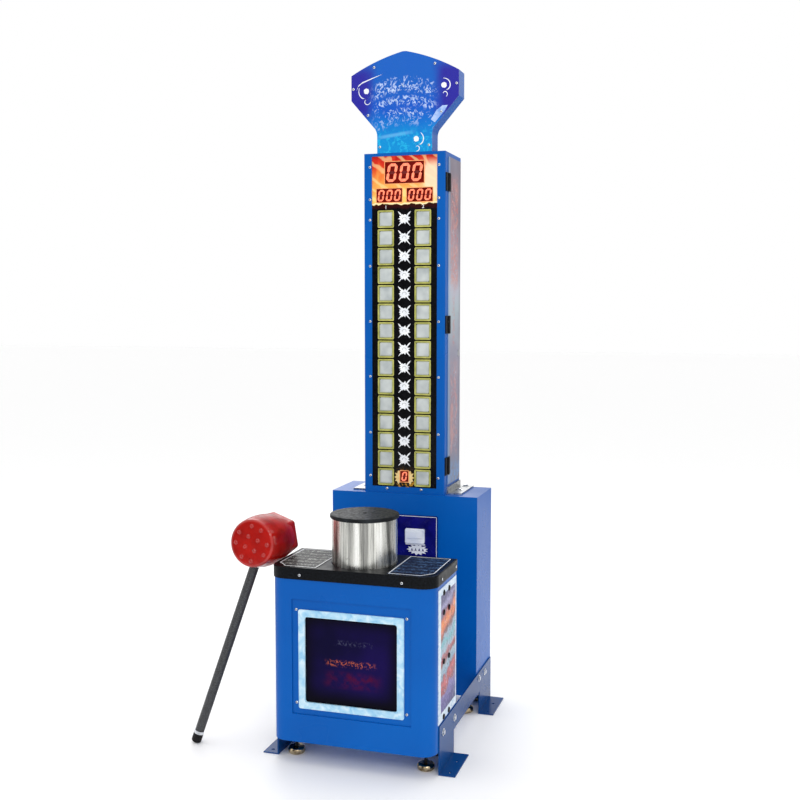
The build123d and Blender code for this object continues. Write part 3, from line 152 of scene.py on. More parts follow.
class Look:
    """One node-based material: a Principled shader, and short ways to feed it."""

    def __init__(self, name, **constants):
        self.material = bpy.data.materials.new(name)
        self.material.use_nodes = True
        self.tree = self.material.node_tree
        self.shader = self.tree.nodes["Principled BSDF"]
        for key, value in constants.items():
            self.shader.inputs[SOCKETS[key]].default_value = value
        self.place = self.node("ShaderNodeTexCoord").outputs["Object"]

    def node(self, kind, inputs=(), **settings):
        made = self.tree.nodes.new(kind)
        for name, value in settings.items():
            setattr(made, name, value)
        for name, value in dict(inputs).items():
            if isinstance(value, bpy.types.NodeSocket):
                self.tree.links.new(value, made.inputs[name])
            else:
                made.inputs[name].default_value = value
        return made

    def feed(self, name, socket):
        self.tree.links.new(socket, self.shader.inputs[SOCKETS[name]])

    def moved(self, scale=(1, 1, 1), turn=(0, 0, 0), shift=(0, 0, 0)):
        turn = tuple(math.radians(angle) for angle in turn)
        inputs = {"Vector": self.place, "Scale": scale, "Rotation": turn, "Location": shift}
        return self.node("ShaderNodeMapping", inputs).outputs[0]

    def noise(self, scale, detail=2, distortion=0.0, place=None):
        inputs = {"Vector": place or self.place, "Scale": scale, "Detail": detail, "Distortion": distortion}
        return self.node("ShaderNodeTexNoise", inputs).outputs[0]

    def cells(self, scale, feature="F1", place=None):
        inputs = {"Vector": place or self.place, "Scale": scale}
        return self.node("ShaderNodeTexVoronoi", inputs, feature=feature).outputs["Distance"]

    def waves(self, scale, distortion=0.0, direction="X", place=None):
        inputs = {"Vector": place or self.place, "Scale": scale, "Distortion": distortion}
        return self.node("ShaderNodeTexWave", inputs, bands_direction=direction).outputs["Fac"]

    def axis(self, name):
        return self.node("ShaderNodeSeparateXYZ", {"Vector": self.place}).outputs[name.upper()]

    def math(self, operation, first, second=0.0):
        return self.node("ShaderNodeMath", {0: first, 1: second}, operation=operation).outputs[0]

    def times(self, first, second):
        return self.math("MULTIPLY", first, second)

    def plus(self, first, second):
        return self.math("ADD", first, second)

    def swing(self, value, reach):
        """A noise's rise and fall about its middle, times the reach."""
        return self.times(self.math("SUBTRACT", value, 0.5), reach)

    def off(self, value, level):
        """How far the value is from the level, either way."""
        return self.math("ABSOLUTE", self.math("SUBTRACT", value, level))

    def span(self, value, low, high, start=0.0, end=1.0):
        """The value's way from low to high, smoothly, as start to end."""
        inputs = {"Value": value, "From Min": low, "From Max": high, "To Min": start, "To Max": end}
        return self.node("ShaderNodeMapRange", inputs, interpolation_type="SMOOTHSTEP").outputs["Result"]

    def within(self, value, low, high, soft):
        """1 between low and high, 0 outside, with soft edges."""
        rise = self.span(value, low - soft, low + soft)
        fall = self.span(value, high - soft, high + soft, 1.0, 0.0)
        return self.times(rise, fall)

    def patch(self, across, up):
        """1 inside a soft-edged box. Each side is given as a value, low, high and soft."""
        return self.times(self.within(*across), self.within(*up))

    def either(self, first, second):
        """The stronger of two masks."""
        return self.math("MAXIMUM", first, second)

    def ramp(self, value, stops, interpolation="LINEAR"):
        ramp = self.node("ShaderNodeValToRGB", {"Fac": value})
        ramp.color_ramp.interpolation = interpolation
        elements = ramp.color_ramp.elements
        while len(elements) < len(stops):
            elements.new(1.0)
        for element, (position, color) in zip(elements, stops):
            element.position = position
            element.color = color
        return ramp.outputs["Color"]

    def tint(self, value, *stops):
        """Feeds the colour from stops along a value."""
        self.feed("color", self.ramp(value, stops))

    def mix(self, share, first, second):
        inputs = {"Factor": share, 6: first, 7: second}
        return self.node("ShaderNodeMix", inputs, data_type="RGBA").outputs[2]

    def over(self, ground, share, strength, color):
        """The ground with a colour laid over it, as strongly as the share and the strength say."""
        return self.mix(self.times(share, strength), ground, color)

    def rough(self, value, low, high):
        """Roughness from low to high, as a noise rises."""
        self.feed("roughness", self.span(value, 0.3, 0.7, low, high))

    def bump(self, height, depth, strength=1.0):
        inputs = {"Height": height, "Distance": depth, "Strength": strength}
        self.feed("normal", self.node("ShaderNodeBump", inputs).outputs["Normal"])


def paint(material, *names):
    """Gives these CAD nodes the material."""
    for name in names:
        for holder in nodes[name].material_slots:
            holder.material = material


# ---------------------------------------------------------------- materials: metal and paint
def powder_coat(name, deep, bright, roughness=0.3):
    look = Look(name, specular=0.12)
    look.tint(look.noise(2.2, 3), (0.3, deep), (0.7, bright))
    look.rough(look.noise(5, 2), roughness - 0.03, roughness + 0.03)
    look.bump(look.noise(620, 2), 0.00005, 0.5)
    return look.material


def steel(name, dark, light, streaks, roughness=0.3):
    """Worked metal, its grain stretched by the given scales."""
    look = Look(name, metallic=1.0)
    grain = look.noise(1, 5, place=look.moved(scale=streaks))
    blotch = look.noise(9, 3)
    look.tint(look.plus(grain, look.times(blotch, 0.3)), (0.45, dark), (0.8, light))
    look.rough(grain, roughness - 0.08, roughness + 0.1)
    look.bump(grain, 0.00015, 0.4)
    return look.material


def drum_steel():
    """Brushed stainless sheet: fine grain up the drum, and broad bright and dark stripes round it, which
    are painted reflections.
    """
    look = Look("drum_steel", metallic=0.92)
    around = look.moved(scale=(46, 46, 1.6))
    # Painted reflection: broad bright and dark stripes in the base colour stand in for the surroundings
    # mirrored round the drum.
    reflection_stripes = look.noise(1, 2, 0.6, around)
    grain = look.noise(1, 4, place=look.moved(scale=(700, 700, 12)))
    both = look.plus(look.times(reflection_stripes, 0.75), look.times(grain, 0.3))
    shades = [
        (0.36, ink(92, 92, 90)),
        (0.48, ink(158, 158, 154)),
        (0.58, ink(224, 224, 218)),
        (0.66, ink(250, 250, 246)),
    ]
    scuffs = look.span(look.noise(95, 4), 0.62, 0.7)
    low = look.within(look.axis("z"), 0.60, 0.66, 0.03)
    worn = look.times(scuffs, look.times(low, 0.5))
    look.feed("color", look.mix(worn, look.ramp(both, shades), ink(128, 128, 122)))
    look.rough(grain, 0.2, 0.36)
    look.bump(grain, 0.0001, 0.5)
    return look.material


def chrome(name, light, dark):
    look = Look(name, metallic=1.0)
    cloud = look.noise(60, 3)
    look.tint(cloud, (0.3, dark), (0.7, light))
    look.rough(cloud, 0.08, 0.2)
    return look.material


def plastic(name, dark, light, roughness=0.35, grain=400, depth=0.00006, specular=0.3):
    look = Look(name, specular=specular)
    look.tint(look.noise(30, 3), (0.3, dark), (0.7, light))
    look.rough(look.noise(grain / 6, 3), roughness - 0.06, roughness + 0.08)
    look.bump(look.noise(grain, 2), depth, 0.6)
    return look.material


def rubber(name, dark, light, roughness=0.6):
    look = Look(name, specular=0.12)
    look.tint(look.noise(45, 5), (0.3, dark), (0.75, light))
    look.rough(look.noise(120, 3), roughness - 0.1, roughness + 0.1)
    look.bump(look.noise(260, 4), 0.0003, 0.5)
    return look.material


def glossy_mallet():
    """Cast red rubber under a wet-looking lacquer, duller and darker where it has struck."""
    look = Look("glossy_mallet", coat_roughness=0.05, specular=0.1)
    look.feed("coat", look.span(look.axis("y"), -0.35, -0.335, 1.0, 0.12))
    reds = [(0.3, ink(126, 8, 4)), (0.5, ink(160, 13, 6)), (0.75, ink(186, 24, 14))]
    look.tint(look.noise(15, 3, 0.4), *reds)
    look.rough(look.noise(60, 3), 0.28, 0.42)
    look.bump(look.noise(110, 3), 0.0009, 0.5)
    return look.material


def grip():
    look = Look("grip", specular=0.6)
    look.tint(look.noise(300, 3), (0.35, ink(18, 18, 20)), (0.7, ink(70, 72, 76)))
    look.rough(look.noise(90, 3), 0.35, 0.6)
    look.bump(look.noise(900, 2), 0.0001, 0.6)
    return look.material


def circuit():
    look = Look("circuit", roughness=0.4)
    tracks = look.cells(55, "DISTANCE_TO_EDGE")
    greens = [(0.0, ink(120, 160, 60)), (0.06, ink(16, 92, 44)), (1.0, ink(12, 70, 36))]
    look.tint(tracks, *greens)
    look.bump(tracks, 0.0003, 0.4)
    return look.material


# ---------------------------------------------------------------- materials: printed films
def black_table():
    look = Look("black_table", specular=0.08)
    look.tint(look.noise(190, 4), (0.35, ink(6, 7, 9)), (0.72, ink(22, 25, 30)))
    look.rough(look.noise(30, 3), 0.28, 0.4)
    look.bump(look.noise(420, 3), 0.00012, 0.5)
    return look.material


def table_film():
    """Printed plates: grey flecks left of the centre plane, pale blue ones on navy to the right."""
    look = Look("table_film", roughness=0.4, specular=0.06)
    side = look.span(look.axis("x"), -0.01, 0.01)
    rows = look.math("GREATER_THAN", look.waves(9, 1.4, "Y"), 0.3)
    flecks = look.span(look.noise(190, 4, 1.2, look.moved(scale=(1.0, 0.7, 1.0))), 0.5, 0.58)
    print_mask = look.times(rows, flecks)
    ground = look.mix(side, ink(34, 35, 36), ink(8, 12, 34))
    letters = look.mix(side, ink(176, 178, 174), ink(84, 116, 156))
    look.feed("color", look.over(ground, print_mask, 0.85, letters))
    return look.material


def window_surround():
    """Pale sky-blue print with soft white water light."""
    look = Look("window_surround", roughness=0.3, specular=0.4)
    blues = [(0.3, ink(132, 190, 226)), (0.5, ink(172, 212, 234)), (0.68, ink(208, 230, 242))]
    look.tint(look.noise(34, 5, 1.0), *blues)
    look.bump(look.noise(300, 2), 0.00005, 0.4)
    return look.material


def dark_window():
    """Tinted pane, almost black, with a faint band of ember flecks showing through it."""
    look = Look("dark_window", roughness=0.1, specular=0.04)
    height = look.axis("z")
    across = look.axis("x")
    depth = look.ramp(look.noise(6, 2), [(0.3, ink(12, 8, 44)), (0.7, ink(26, 14, 76))])
    edge = look.patch((across, -0.125, 0.125, 0.03), (height, 0.235, 0.445, 0.03))
    ground = look.mix(edge, ink(8, 6, 18), depth)
    flecks = look.span(look.noise(150, 4, 0.8, look.moved(scale=(1, 1, 0.8))), 0.5, 0.6)
    ember_band = look.patch((across, -0.075, 0.07, 0.015), (height, 0.322, 0.338, 0.006))
    embers = look.times(flecks, ember_band)
    red_band = look.patch((across, -0.075, 0.08, 0.03), (height, 0.258, 0.3, 0.012))
    haze = look.times(red_band, look.span(look.noise(40, 4), 0.35, 0.7, 0.0, 0.55))
    ground = look.mix(haze, ground, ink(96, 8, 22))
    hint = look.patch((across, -0.05, 0.07, 0.01), (height, 0.386, 0.4, 0.005))
    ground = look.over(ground, look.times(hint, flecks), 0.35, ink(90, 92, 120))
    look.feed("color", look.over(ground, embers, 0.75, ink(196, 96, 62)))
    return look.material


def flame_panel():
    """Gloss black panel, with a print of orange flames round the score displays at its top, the flames made
    paler towards the right by a painted shine.
    """
    look = Look("flame_panel", roughness=0.2, specular=0.18)
    height = look.axis("z")
    across = look.axis("x")
    licks = look.noise(22, 4, 0.9, look.moved(scale=(1.5, 1, 0.8)))
    warmth = look.plus(look.span(height, 1.735, 1.925, 0.18, 0.72), look.times(licks, 0.42))
    flames = look.ramp(warmth, [
        (0.36, ink(250, 206, 110)),
        (0.56, ink(246, 170, 84)),
        (0.74, ink(236, 122, 56)),
        (0.86, ink(214, 52, 30)),
        (0.96, ink(186, 30, 24)),
    ])
    rays = look.span(look.waves(13, 7.0, "DIAGONAL"), 0.6, 0.95)
    flames = look.over(flames, rays, 0.4, ink(255, 236, 168))
    # Painted highlight: a shine on the gloss panel, painted as flames that turn paler towards the right.
    painted_shine = look.plus(look.span(across, 0.0, 0.12), look.swing(licks, 1.2))
    pale = look.times(look.span(painted_shine, 0.2, 0.9), look.within(height, 1.765, 1.885, 0.02))
    flames = look.over(flames, pale, 0.85, ink(246, 226, 190))
    edge_height = look.plus(height, look.swing(licks, 0.022))
    burning = look.span(edge_height, 1.7455, 1.7485)
    rim = look.within(edge_height, 1.7475, 1.7515, 0.0015)
    flames = look.mix(rim, flames, ink(255, 240, 190))
    glow = look.within(edge_height, 1.735, 1.747, 0.006)
    black = look.ramp(look.noise(120, 3), [(0.3, ink(6, 6, 8)), (0.7, ink(16, 16, 20))])
    black = look.over(black, glow, 0.5, ink(70, 12, 10))
    foot = look.span(height, 0.80, 0.86, 1.0, 0.0)
    embers = look.times(foot, look.span(look.noise(70, 4, 1.2), 0.5, 0.62))
    near = look.within(across, -0.036, 0.036, 0.008)
    black = look.over(black, look.times(embers, near), 0.85, ink(206, 148, 40))
    look.feed("color", look.mix(burning, black, flames))
    return look.material


def header_art():
    """Violet corners fading to bright cyan at the foot, with pale spray across the middle."""
    look = Look("header_art", roughness=0.25, specular=0.25)
    height = look.axis("z")
    across = look.axis("x")
    out = look.math("ABSOLUTE", across)
    cloud = look.noise(11, 4, 0.8)
    rise = look.plus(look.span(height, 1.93, 2.17), look.swing(cloud, 0.35))
    water = look.ramp(rise, [
        (0.0, ink(0, 140, 208)),
        (0.3, ink(0, 112, 200)),
        (0.6, ink(8, 84, 192)),
        (1.0, ink(14, 92, 186)),
    ])
    corner = look.plus(look.span(out, 0.055, 0.16), look.swing(cloud, 0.5))
    violet = look.times(look.span(corner, 0.25, 0.95), look.within(height, 2.035, 2.205, 0.03))
    water = look.over(water, violet, 0.95, ink(40, 30, 150))
    arch = look.plus(height, look.times(look.times(out, out), 2.2))
    spray = look.span(look.noise(58, 6, 2.4, look.moved(scale=(1.0, 1, 0.75))), 0.53, 0.6)
    rows = look.either(look.within(arch, 2.118, 2.168, 0.006), look.within(arch, 2.074, 2.105, 0.006))
    rows = look.either(rows, look.times(look.within(arch, 2.012, 2.062, 0.012), 0.6))
    band = look.times(rows, look.within(out, -0.1, 0.105, 0.02))
    water = look.over(water, look.times(spray, band), 0.85, ink(188, 206, 244))
    tilted = look.plus(height, look.times(across, -0.12))
    streak = look.patch((across, -0.09, 0.02, 0.03), (tilted, 1.976, 1.986, 0.004))
    water = look.over(water, streak, 0.5, ink(120, 190, 236))
    foam = look.times(look.span(look.noise(48, 4, 2.0), 0.52, 0.6), look.span(height, 1.96, 2.01, 0.8, 0.0))
    water = look.over(water, foam, 0.6, ink(40, 196, 232))
    look.feed("color", water)
    return look.material


def door_art():
    """Pale lilac film with a pink and orange flame drawing, blue and shiny at the foot, and painted sheen
    in its ground tone.
    """
    look = Look("door_art", roughness=0.3, specular=0.3)
    height = look.axis("z")
    along = look.axis("y")
    # Painted sheen: this broad noise lightens and darkens the film's ground tone as a shine on it would.
    painted_sheen = look.noise(5, 3, 0.5)
    ground = look.ramp(look.plus(look.span(height, 0.85, 1.9), look.swing(painted_sheen, 0.4)), [
        (0.0, ink(112, 116, 140)),
        (0.3, ink(142, 140, 158)),
        (0.48, ink(164, 178, 186)),
        (0.62, ink(178, 182, 196)),
        (0.85, ink(142, 132, 148)),
        (1.0, ink(116, 106, 122)),
    ])
    ground = look.mix(look.span(along, 0.235, 0.21, 0.0, 0.55), ground, ink(120, 164, 206))
    ground = look.mix(look.span(along, 0.335, 0.36, 0.0, 0.4), ground, ink(112, 104, 118))
    swirl = look.noise(26, 6, 3.0, look.moved(scale=(1, 1.6, 0.7)))
    lines = look.span(look.off(swirl, 0.5), 0.014, 0.03, 1.0, 0.0)
    middle = look.within(along, 0.238, 0.332, 0.015)
    upper = look.within(height, 1.47, 1.83, 0.04)
    lower = look.within(height, 0.90, 1.20, 0.04)
    column = look.patch((along, 0.262, 0.29, 0.006), (height, 1.27, 1.44, 0.01))
    dense = look.times(look.either(upper, lower), middle)
    drawn = look.either(dense, column)
    flame = look.ramp(look.span(height, 0.85, 1.85), [
        (0.0, ink(166, 96, 104)),
        (0.35, ink(190, 112, 110)),
        (0.6, ink(196, 84, 62)),
        (1.0, ink(200, 78, 56)),
    ])
    ground = look.mix(look.times(lines, drawn), ground, flame)
    wash = look.span(look.noise(14, 5, 1.6), 0.46, 0.56)
    ground = look.over(ground, look.times(wash, dense), 0.45, ink(206, 138, 122))
    pale_lines = look.span(look.off(swirl, 0.43), 0.004, 0.012, 1.0, 0.0)
    ground = look.over(ground, look.times(pale_lines, dense), 0.8, ink(228, 226, 234))
    foot = look.times(look.span(height, 0.80, 0.9, 0.9, 0.0), look.span(look.noise(34, 5, 1.0), 0.4, 0.6))
    ground = look.mix(foot, ground, ink(96, 146, 200))
    look.feed("color", ground)
    look.bump(look.noise(40, 3), 0.0005, 0.25)
    return look.material


def side_art():
    """Printed side panel: white border round diagonal bands of flame, water and storm colours."""
    look = Look("side_art", roughness=0.3, specular=0.2)
    height = look.axis("z")
    along = look.axis("y")
    low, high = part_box("side_art_panels")
    swirl = look.noise(14, 6, 1.4)
    slant = look.plus(height, look.times(along, -0.22))
    slant = look.plus(slant, look.swing(swirl, 0.07))
    inputs = {"Value": slant, "From Min": low[2] + 0.05, "From Max": high[2] + 0.05}
    share = look.node("ShaderNodeMapRange", inputs).outputs[0]
    bands = look.ramp(share, [
        (0.00, ink(40, 34, 92)),
        (0.10, ink(62, 50, 128)),
        (0.20, ink(112, 96, 164)),
        (0.235, ink(138, 44, 52)),
        (0.30, ink(196, 70, 72)),
        (0.335, ink(150, 60, 70)),
        (0.36, ink(122, 158, 182)),
        (0.42, ink(150, 176, 190)),
        (0.455, ink(140, 44, 44)),
        (0.505, ink(176, 88, 92)),
        (0.53, ink(156, 178, 194)),
        (0.60, ink(96, 176, 186)),
        (0.635, ink(146, 160, 180)),
        (0.66, ink(112, 48, 34)),
        (0.70, ink(214, 96, 26)),
        (0.745, ink(236, 134, 40)),
        (0.79, ink(196, 84, 40)),
        (0.82, ink(104, 74, 104)),
        (0.86, ink(148, 142, 190)),
        (0.91, ink(62, 56, 112)),
        (1.00, ink(72, 70, 128)),
    ])
    veins = look.span(look.noise(36, 6, 2.4, look.moved(scale=(1, 2.0, 0.8))), 0.55, 0.6)
    bands = look.over(bands, veins, 0.4, ink(176, 178, 208))
    strokes = look.noise(30, 6, 2.2)
    dark_veins = look.span(look.off(strokes, 0.47), 0.012, 0.024, 1.0, 0.0)
    bands = look.over(bands, dark_veins, 0.7, ink(20, 16, 44))
    wobble = look.swing(look.noise(90, 3), 0.004)
    art = look.patch(
        (look.plus(along, wobble), low[1] + 26 * MM, high[1] - 10 * MM, 0.0006),
        (look.plus(height, wobble), low[2] + 26 * MM, high[2] - 22 * MM, 0.0006),
    )
    rim = look.ramp(look.noise(60, 4, 1.0), [(0.35, ink(168, 196, 222)), (0.55, ink(216, 228, 238))])
    look.feed("color", look.mix(art, rim, bands))
    return look.material


def lens_plastic():
    look = Look("lens_plastic", roughness=0.35, specular=0.4)
    ribs = look.waves(80, 0.0, "X")
    tone = look.plus(look.times(ribs, 0.12), look.noise(24, 2))
    look.tint(tone, (0.3, ink(158, 166, 168)), (0.75, ink(198, 204, 202)))
    look.bump(ribs, 0.0002, 0.5)
    return look.material


def glowing(name, color, strength, dark):
    look = Look(name, roughness=0.3, glow=strength, glow_color=color)
    look.tint(look.noise(150, 2), (0.3, dark), (0.7, color))
    return look.material


# ---------------------------------------------------------------- geometry kit
def add_piece(name, mesh, material, body="root", smooth=False):
    piece = bpy.data.objects.new(name, mesh)
    bpy.context.collection.objects.link(piece)
    mesh.materials.clear()
    mesh.materials.append(material)
    if smooth:
        mesh.shade_smooth()
    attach(piece, body)
    return piece


def upright(x, y, z):
    """A drawing plane that faces the player: its X to the right, its Y up."""
    return Matrix.Translation((x, y, z)) @ Matrix.Rotation(math.radians(90), 4, "X")


def polar(reach, angle):
    """The point this far from the middle, at this angle."""
    return reach * math.cos(angle), reach * math.sin(angle)


def in_mm(points):
    """An outline given in millimetres, in metres."""
    return [(across * MM, up * MM) for across, up in points]


def middle_of(points):
    return sum(points, Vector()) / len(points)


def finished(made, name):
    """The mesh of a bmesh that is done with."""
    mesh = bpy.data.meshes.new(name)
    made.to_mesh(mesh)
    made.free()
    return mesh


def mesh_of(curve):
    """The mesh of a curve that is done with."""
    holder = bpy.data.objects.new("outline", curve)
    bpy.context.collection.objects.link(holder)
    mesh = bpy.data.meshes.new_from_object(holder)
    bpy.data.objects.remove(holder)
    bpy.data.curves.remove(curve)
    return mesh


def flat_shapes(loops, depth, plane, bevel=0.0):
    """A mesh of closed outlines that stand out from the plane. A loop inside another is a hole."""
    curve = bpy.data.curves.new("outline", "CURVE")
    curve.dimensions = "2D"
    curve.fill_mode = "BOTH"
    curve.extrude = depth / 2 - bevel
    curve.bevel_depth = bevel
    curve.offset = -bevel
    for loop in loops:
        spline = curve.splines.new("POLY")
        spline.points.add(len(loop) - 1)
        for point, (across, up) in zip(spline.points, loop):
            point.co = (across, up, 0, 1)
        spline.use_cyclic_u = True
    mesh = mesh_of(curve)
    mesh.transform(plane @ Matrix.Translation((0, 0, depth / 2)))
    return mesh


def joined(meshes):
    """One mesh made of several."""
    whole = bmesh.new()
    for mesh in meshes:
        whole.from_mesh(mesh)
        bpy.data.meshes.remove(mesh)
    return finished(whole, "joined")


def inset(box, by):
    """A box of left, bottom, right and top, with each side moved in."""
    left, bottom, right, top = box
    return left + by, bottom + by, right - by, top - by


def rounded_box(box, radius):
    """The box's outline with round corners."""
    left, bottom, right, top = box
    steps = 5
    loop = []
    for x, y, start in ((right, top, 0), (left, top, 90), (left, bottom, 180), (right, bottom, 270)):
        centre_x = x - radius if x == right else x + radius
        centre_y = y - radius if y == top else y + radius
        for step in range(steps + 1):
            across, up = polar(radius, math.radians(start + 90 * step / steps))
            loop.append((centre_x + across, centre_y + up))
    return loop


def frame_loops(box, width, radius):
    """The outer and inner outline of a frame along the box's edge."""
    return [rounded_box(box, radius), rounded_box(inset(box, width), max(radius - width, radius / 3))]


def uneven_round(points, dip, wide, tall, least, most, chance):
    """An oval outline. Every other point dips in, and chance moves each of them a little."""
    loop = []
    for step in range(points):
        reach = (1 if step % 2 else dip) * chance.uniform(least, most)
        across, up = polar(reach, 2 * math.pi * step / points)
        loop.append((wide * across, tall * up))
    return loop


def turned(profile, plane, steps):
    """A turned shape about the plane's Z, from (radius, height) pairs."""
    made = bmesh.new()
    rings = []
    for radius, height in profile:
        count = steps if radius else 1
        spots = [Vector((*polar(radius, 2 * math.pi * step / steps), height)) for step in range(count)]
        rings.append([made.verts.new(plane @ spot) for spot in spots])
    for low, high in zip(rings, rings[1:]):
        for step in range(steps):
            after = (step + 1) % steps
            if len(low) == 1:
                made.faces.new((low[0], high[after], high[step]))
            elif len(high) == 1:
                made.faces.new((low[step], low[after], high[0]))
            else:
                made.faces.new((low[step], low[after], high[after], high[step]))
    bmesh.ops.recalc_face_normals(made, faces=made.faces)
    return finished(made, "turned")


def skin(made, rings):
    """Faces from each closed ring of vertices to the next."""
    for first, second in zip(rings, rings[1:]):
        for side in range(len(first)):
            after = (side + 1) % len(first)
            made.faces.new((first[side], first[after], second[after], second[side]))


def islands(node):
    """The vertices of each separate solid of a CAD node."""
    mesh = nodes[node].data
    spot = {}
    parent = list(range(len(mesh.vertices)))

    def top(index):
        while parent[index] != index:
            parent[index] = parent[parent[index]]
            index = parent[index]
        return index

    for vertex in mesh.vertices:
        key = tuple(round(value, 6) for value in vertex.co)
        parent[top(vertex.index)] = top(spot.setdefault(key, vertex.index))
    for edge in mesh.edges:
        parent[top(edge.vertices[0])] = top(edge.vertices[1])
    groups = {}
    for vertex in mesh.vertices:
        groups.setdefault(top(vertex.index), []).append(vertex.co.copy())
    return [groups[key] for key in sorted(groups)]


def head_planes(node):
    """For each screw of a node: a plane on the outer face of its head, looking outwards."""
    planes = []
    for points in islands(node):
        best = None
        for axis in range(3):
            others = [other for other in range(3) if other != axis]
            for sign in (-1, 1):
                end = max(sign * point[axis] for point in points)
                cap = [point for point in points if sign * point[axis] > end - 1e-5]
                spread = min(max(p[o] for p in cap) - min(p[o] for p in cap) for o in others)
                if best is None or spread > best[0]:
                    best = (spread, axis, sign, cap)
        spread, axis, sign, cap = best
        outward = Vector([sign if index == axis else 0 for index in range(3)])
        turn = outward.to_track_quat("Z", "Y" if axis == 2 else "X").to_matrix().to_4x4()
        planes.append(Matrix.Translation(middle_of(cap)) @ turn)
    return planes


# ---------------------------------------------------------------- fasteners
# Thickness of the flat dark marks that paint the shade in the screw heads' cross recesses and hex sockets.
RECESS_SHADE_THICKNESS = 0.1 * MM


def screw_head(plane, radius, height, shape, steps):
    """A domed head under the plane, shaped by shares of its radius and height from the rim inwards."""
    profile = [(radius * out, -height * down) for out, down in shape]
    return turned([(0, -height)] + profile + [(0, 0)], plane, steps)


def make_pan_heads(bright, dark):
    radius, height = 4.6 * MM, 2.6 * MM
    shape = [(0.98, 1), (1, 0.8), (0.9, 0.35), (0.62, 0.06), (0.3, 0)]
    arm, half = radius * 0.52, radius * 0.13
    cross = [(half, half), (half, arm), (-half, arm), (-half, half), (-arm, half), (-arm, -half)]
    cross += [(-half, -half), (-half, -arm), (half, -arm), (half, -half), (arm, -half), (arm, half)]
    planes = head_planes("pan_head_screws")
    domes = [screw_head(plane, radius, height, shape, 20) for plane in planes]
    heads = add_piece("screw_heads", joined(domes), bright, smooth=True)
    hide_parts("pan_head_screws")
    # Painted shade: flat dark crosses on the heads stand in for the shade inside the cross recesses.
    recess_shade_crosses = [flat_shapes([cross], RECESS_SHADE_THICKNESS, plane) for plane in planes]
    add_piece("screw_recess_shades", joined(recess_shade_crosses), dark)


def make_button_heads(black, dark):
    radius, height, socket = 9 * MM, 4 * MM, 2.4 * MM
    shape = [(1, 1), (0.97, 0.62), (0.84, 0.28), (0.6, 0.06), (0.44, 0)]
    hexagon = [polar(socket, math.pi * corner / 3) for corner in range(6)]
    planes = head_planes("button_head_screws")
    domes = [screw_head(plane, radius, height, shape, 28) for plane in planes]
    heads = add_piece("side_screw_heads", joined(domes), black, smooth=True)
    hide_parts("button_head_screws")
    # Painted shade: flat dark hexagons on the heads stand in for the shade inside the hex sockets.
    socket_shades = [flat_shapes([hexagon], RECESS_SHADE_THICKNESS, plane) for plane in planes]
    add_piece("side_screw_socket_shades", joined(socket_shades), dark)


def make_washers(material):
    """A washer with an eased edge under each bolt head."""
    head_height, bore, rim, edge, top = 5 * MM, 8.2 * MM, 12 * MM, 1.2 * MM, 1.5 * MM
    profile = [(bore, 0), (rim, 0), (rim, edge), (rim - 0.4 * MM, top), (bore, top)]
    down = Matrix.Translation((0, 0, -head_height))
    washers = [turned(profile, plane @ down, 28) for plane in head_planes("hex_bolts")]
    add_piece("bolt_washers", joined(washers), material)


# ---------------------------------------------------------------- tower front
def lamp_cells():
    """The box of each lamp: left, bottom, right, top."""
    low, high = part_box("lamp_bezels")
    rows, width, height = 15, 57 * MM, 58 * MM
    pitch = (high[2] - low[2] - height) / (rows - 1)
    for column in (low[0], high[0] - width):
        for row in range(rows):
            bottom = low[2] + row * pitch
            yield column, bottom, column + width, bottom + height


def make_lamps(yellow, lens, shadow):
    """A stepped frame round each lens, with painted shade in the groove between its two steps: a dark flat
    sheet that shows through the gap.
    """
    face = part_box("lamp_bezels")[1][1]
    plane = upright(0, face, 0)
    frames, tiles, groove_shades = [], [], []
    for cell in lamp_cells():
        outer = frame_loops(cell, 2.6 * MM, 4 * MM)
        inner = frame_loops(inset(cell, 3.4 * MM), 1.8 * MM, 3 * MM)
        frames.append(flat_shapes(outer, 3 * MM, plane, 0.5 * MM))
        frames.append(flat_shapes(inner, 2.4 * MM, plane, 0.3 * MM))
        # Painted shade: a dark flat sheet behind the frames fills the groove where shade would fall.
        groove_shades.append(flat_shapes([rounded_box(inset(cell, 2.4 * MM), 3 * MM)], 0.6 * MM, plane))
        tiles.append(lamp_tile(inset(cell, 5.4 * MM), face))
    bezels = add_piece("lamp_frames", joined(frames), yellow)
    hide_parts("lamp_bezels")
    lenses = add_piece("lamp_windows", joined(tiles), lens, smooth=True)
    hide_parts("lamp_lenses")
    add_piece("lamp_groove_shades", joined(groove_shades), shadow)


def lamp_tile(box, face):
    """A frosted lens: a flat middle that falls away in a soft round edge."""
    left, bottom, right, top = box
    made = bmesh.new()
    steps = 10
    grid = []
    for row in range(steps + 1):
        line = []
        for column in range(steps + 1):
            across, up = column / steps, row / steps
            edge = min(across, 1 - across, up, 1 - up)
            swell = 1 - (1 - min(edge / 0.2, 1)) ** 2
            y = face - (0.5 + 1.3 * swell) * MM
            line.append(made.verts.new((left + (right - left) * across, y, bottom + (top - bottom) * up)))
        grid.append(line)
    for low, high in zip(grid, grid[1:]):
        for column in range(steps):
            made.faces.new((low[column], low[column + 1], high[column + 1], high[column]))
    rim = [edge for edge in made.edges if edge.is_boundary]
    walls = bmesh.ops.extrude_edge_only(made, edges=rim)["geom"]
    for vertex in [item for item in walls if isinstance(item, bmesh.types.BMVert)]:
        vertex.co.y = face
    bmesh.ops.contextual_create(made, geom=[edge for edge in made.edges if edge.is_boundary])
    bmesh.ops.recalc_face_normals(made, faces=made.faces)
    return finished(made, "tile")


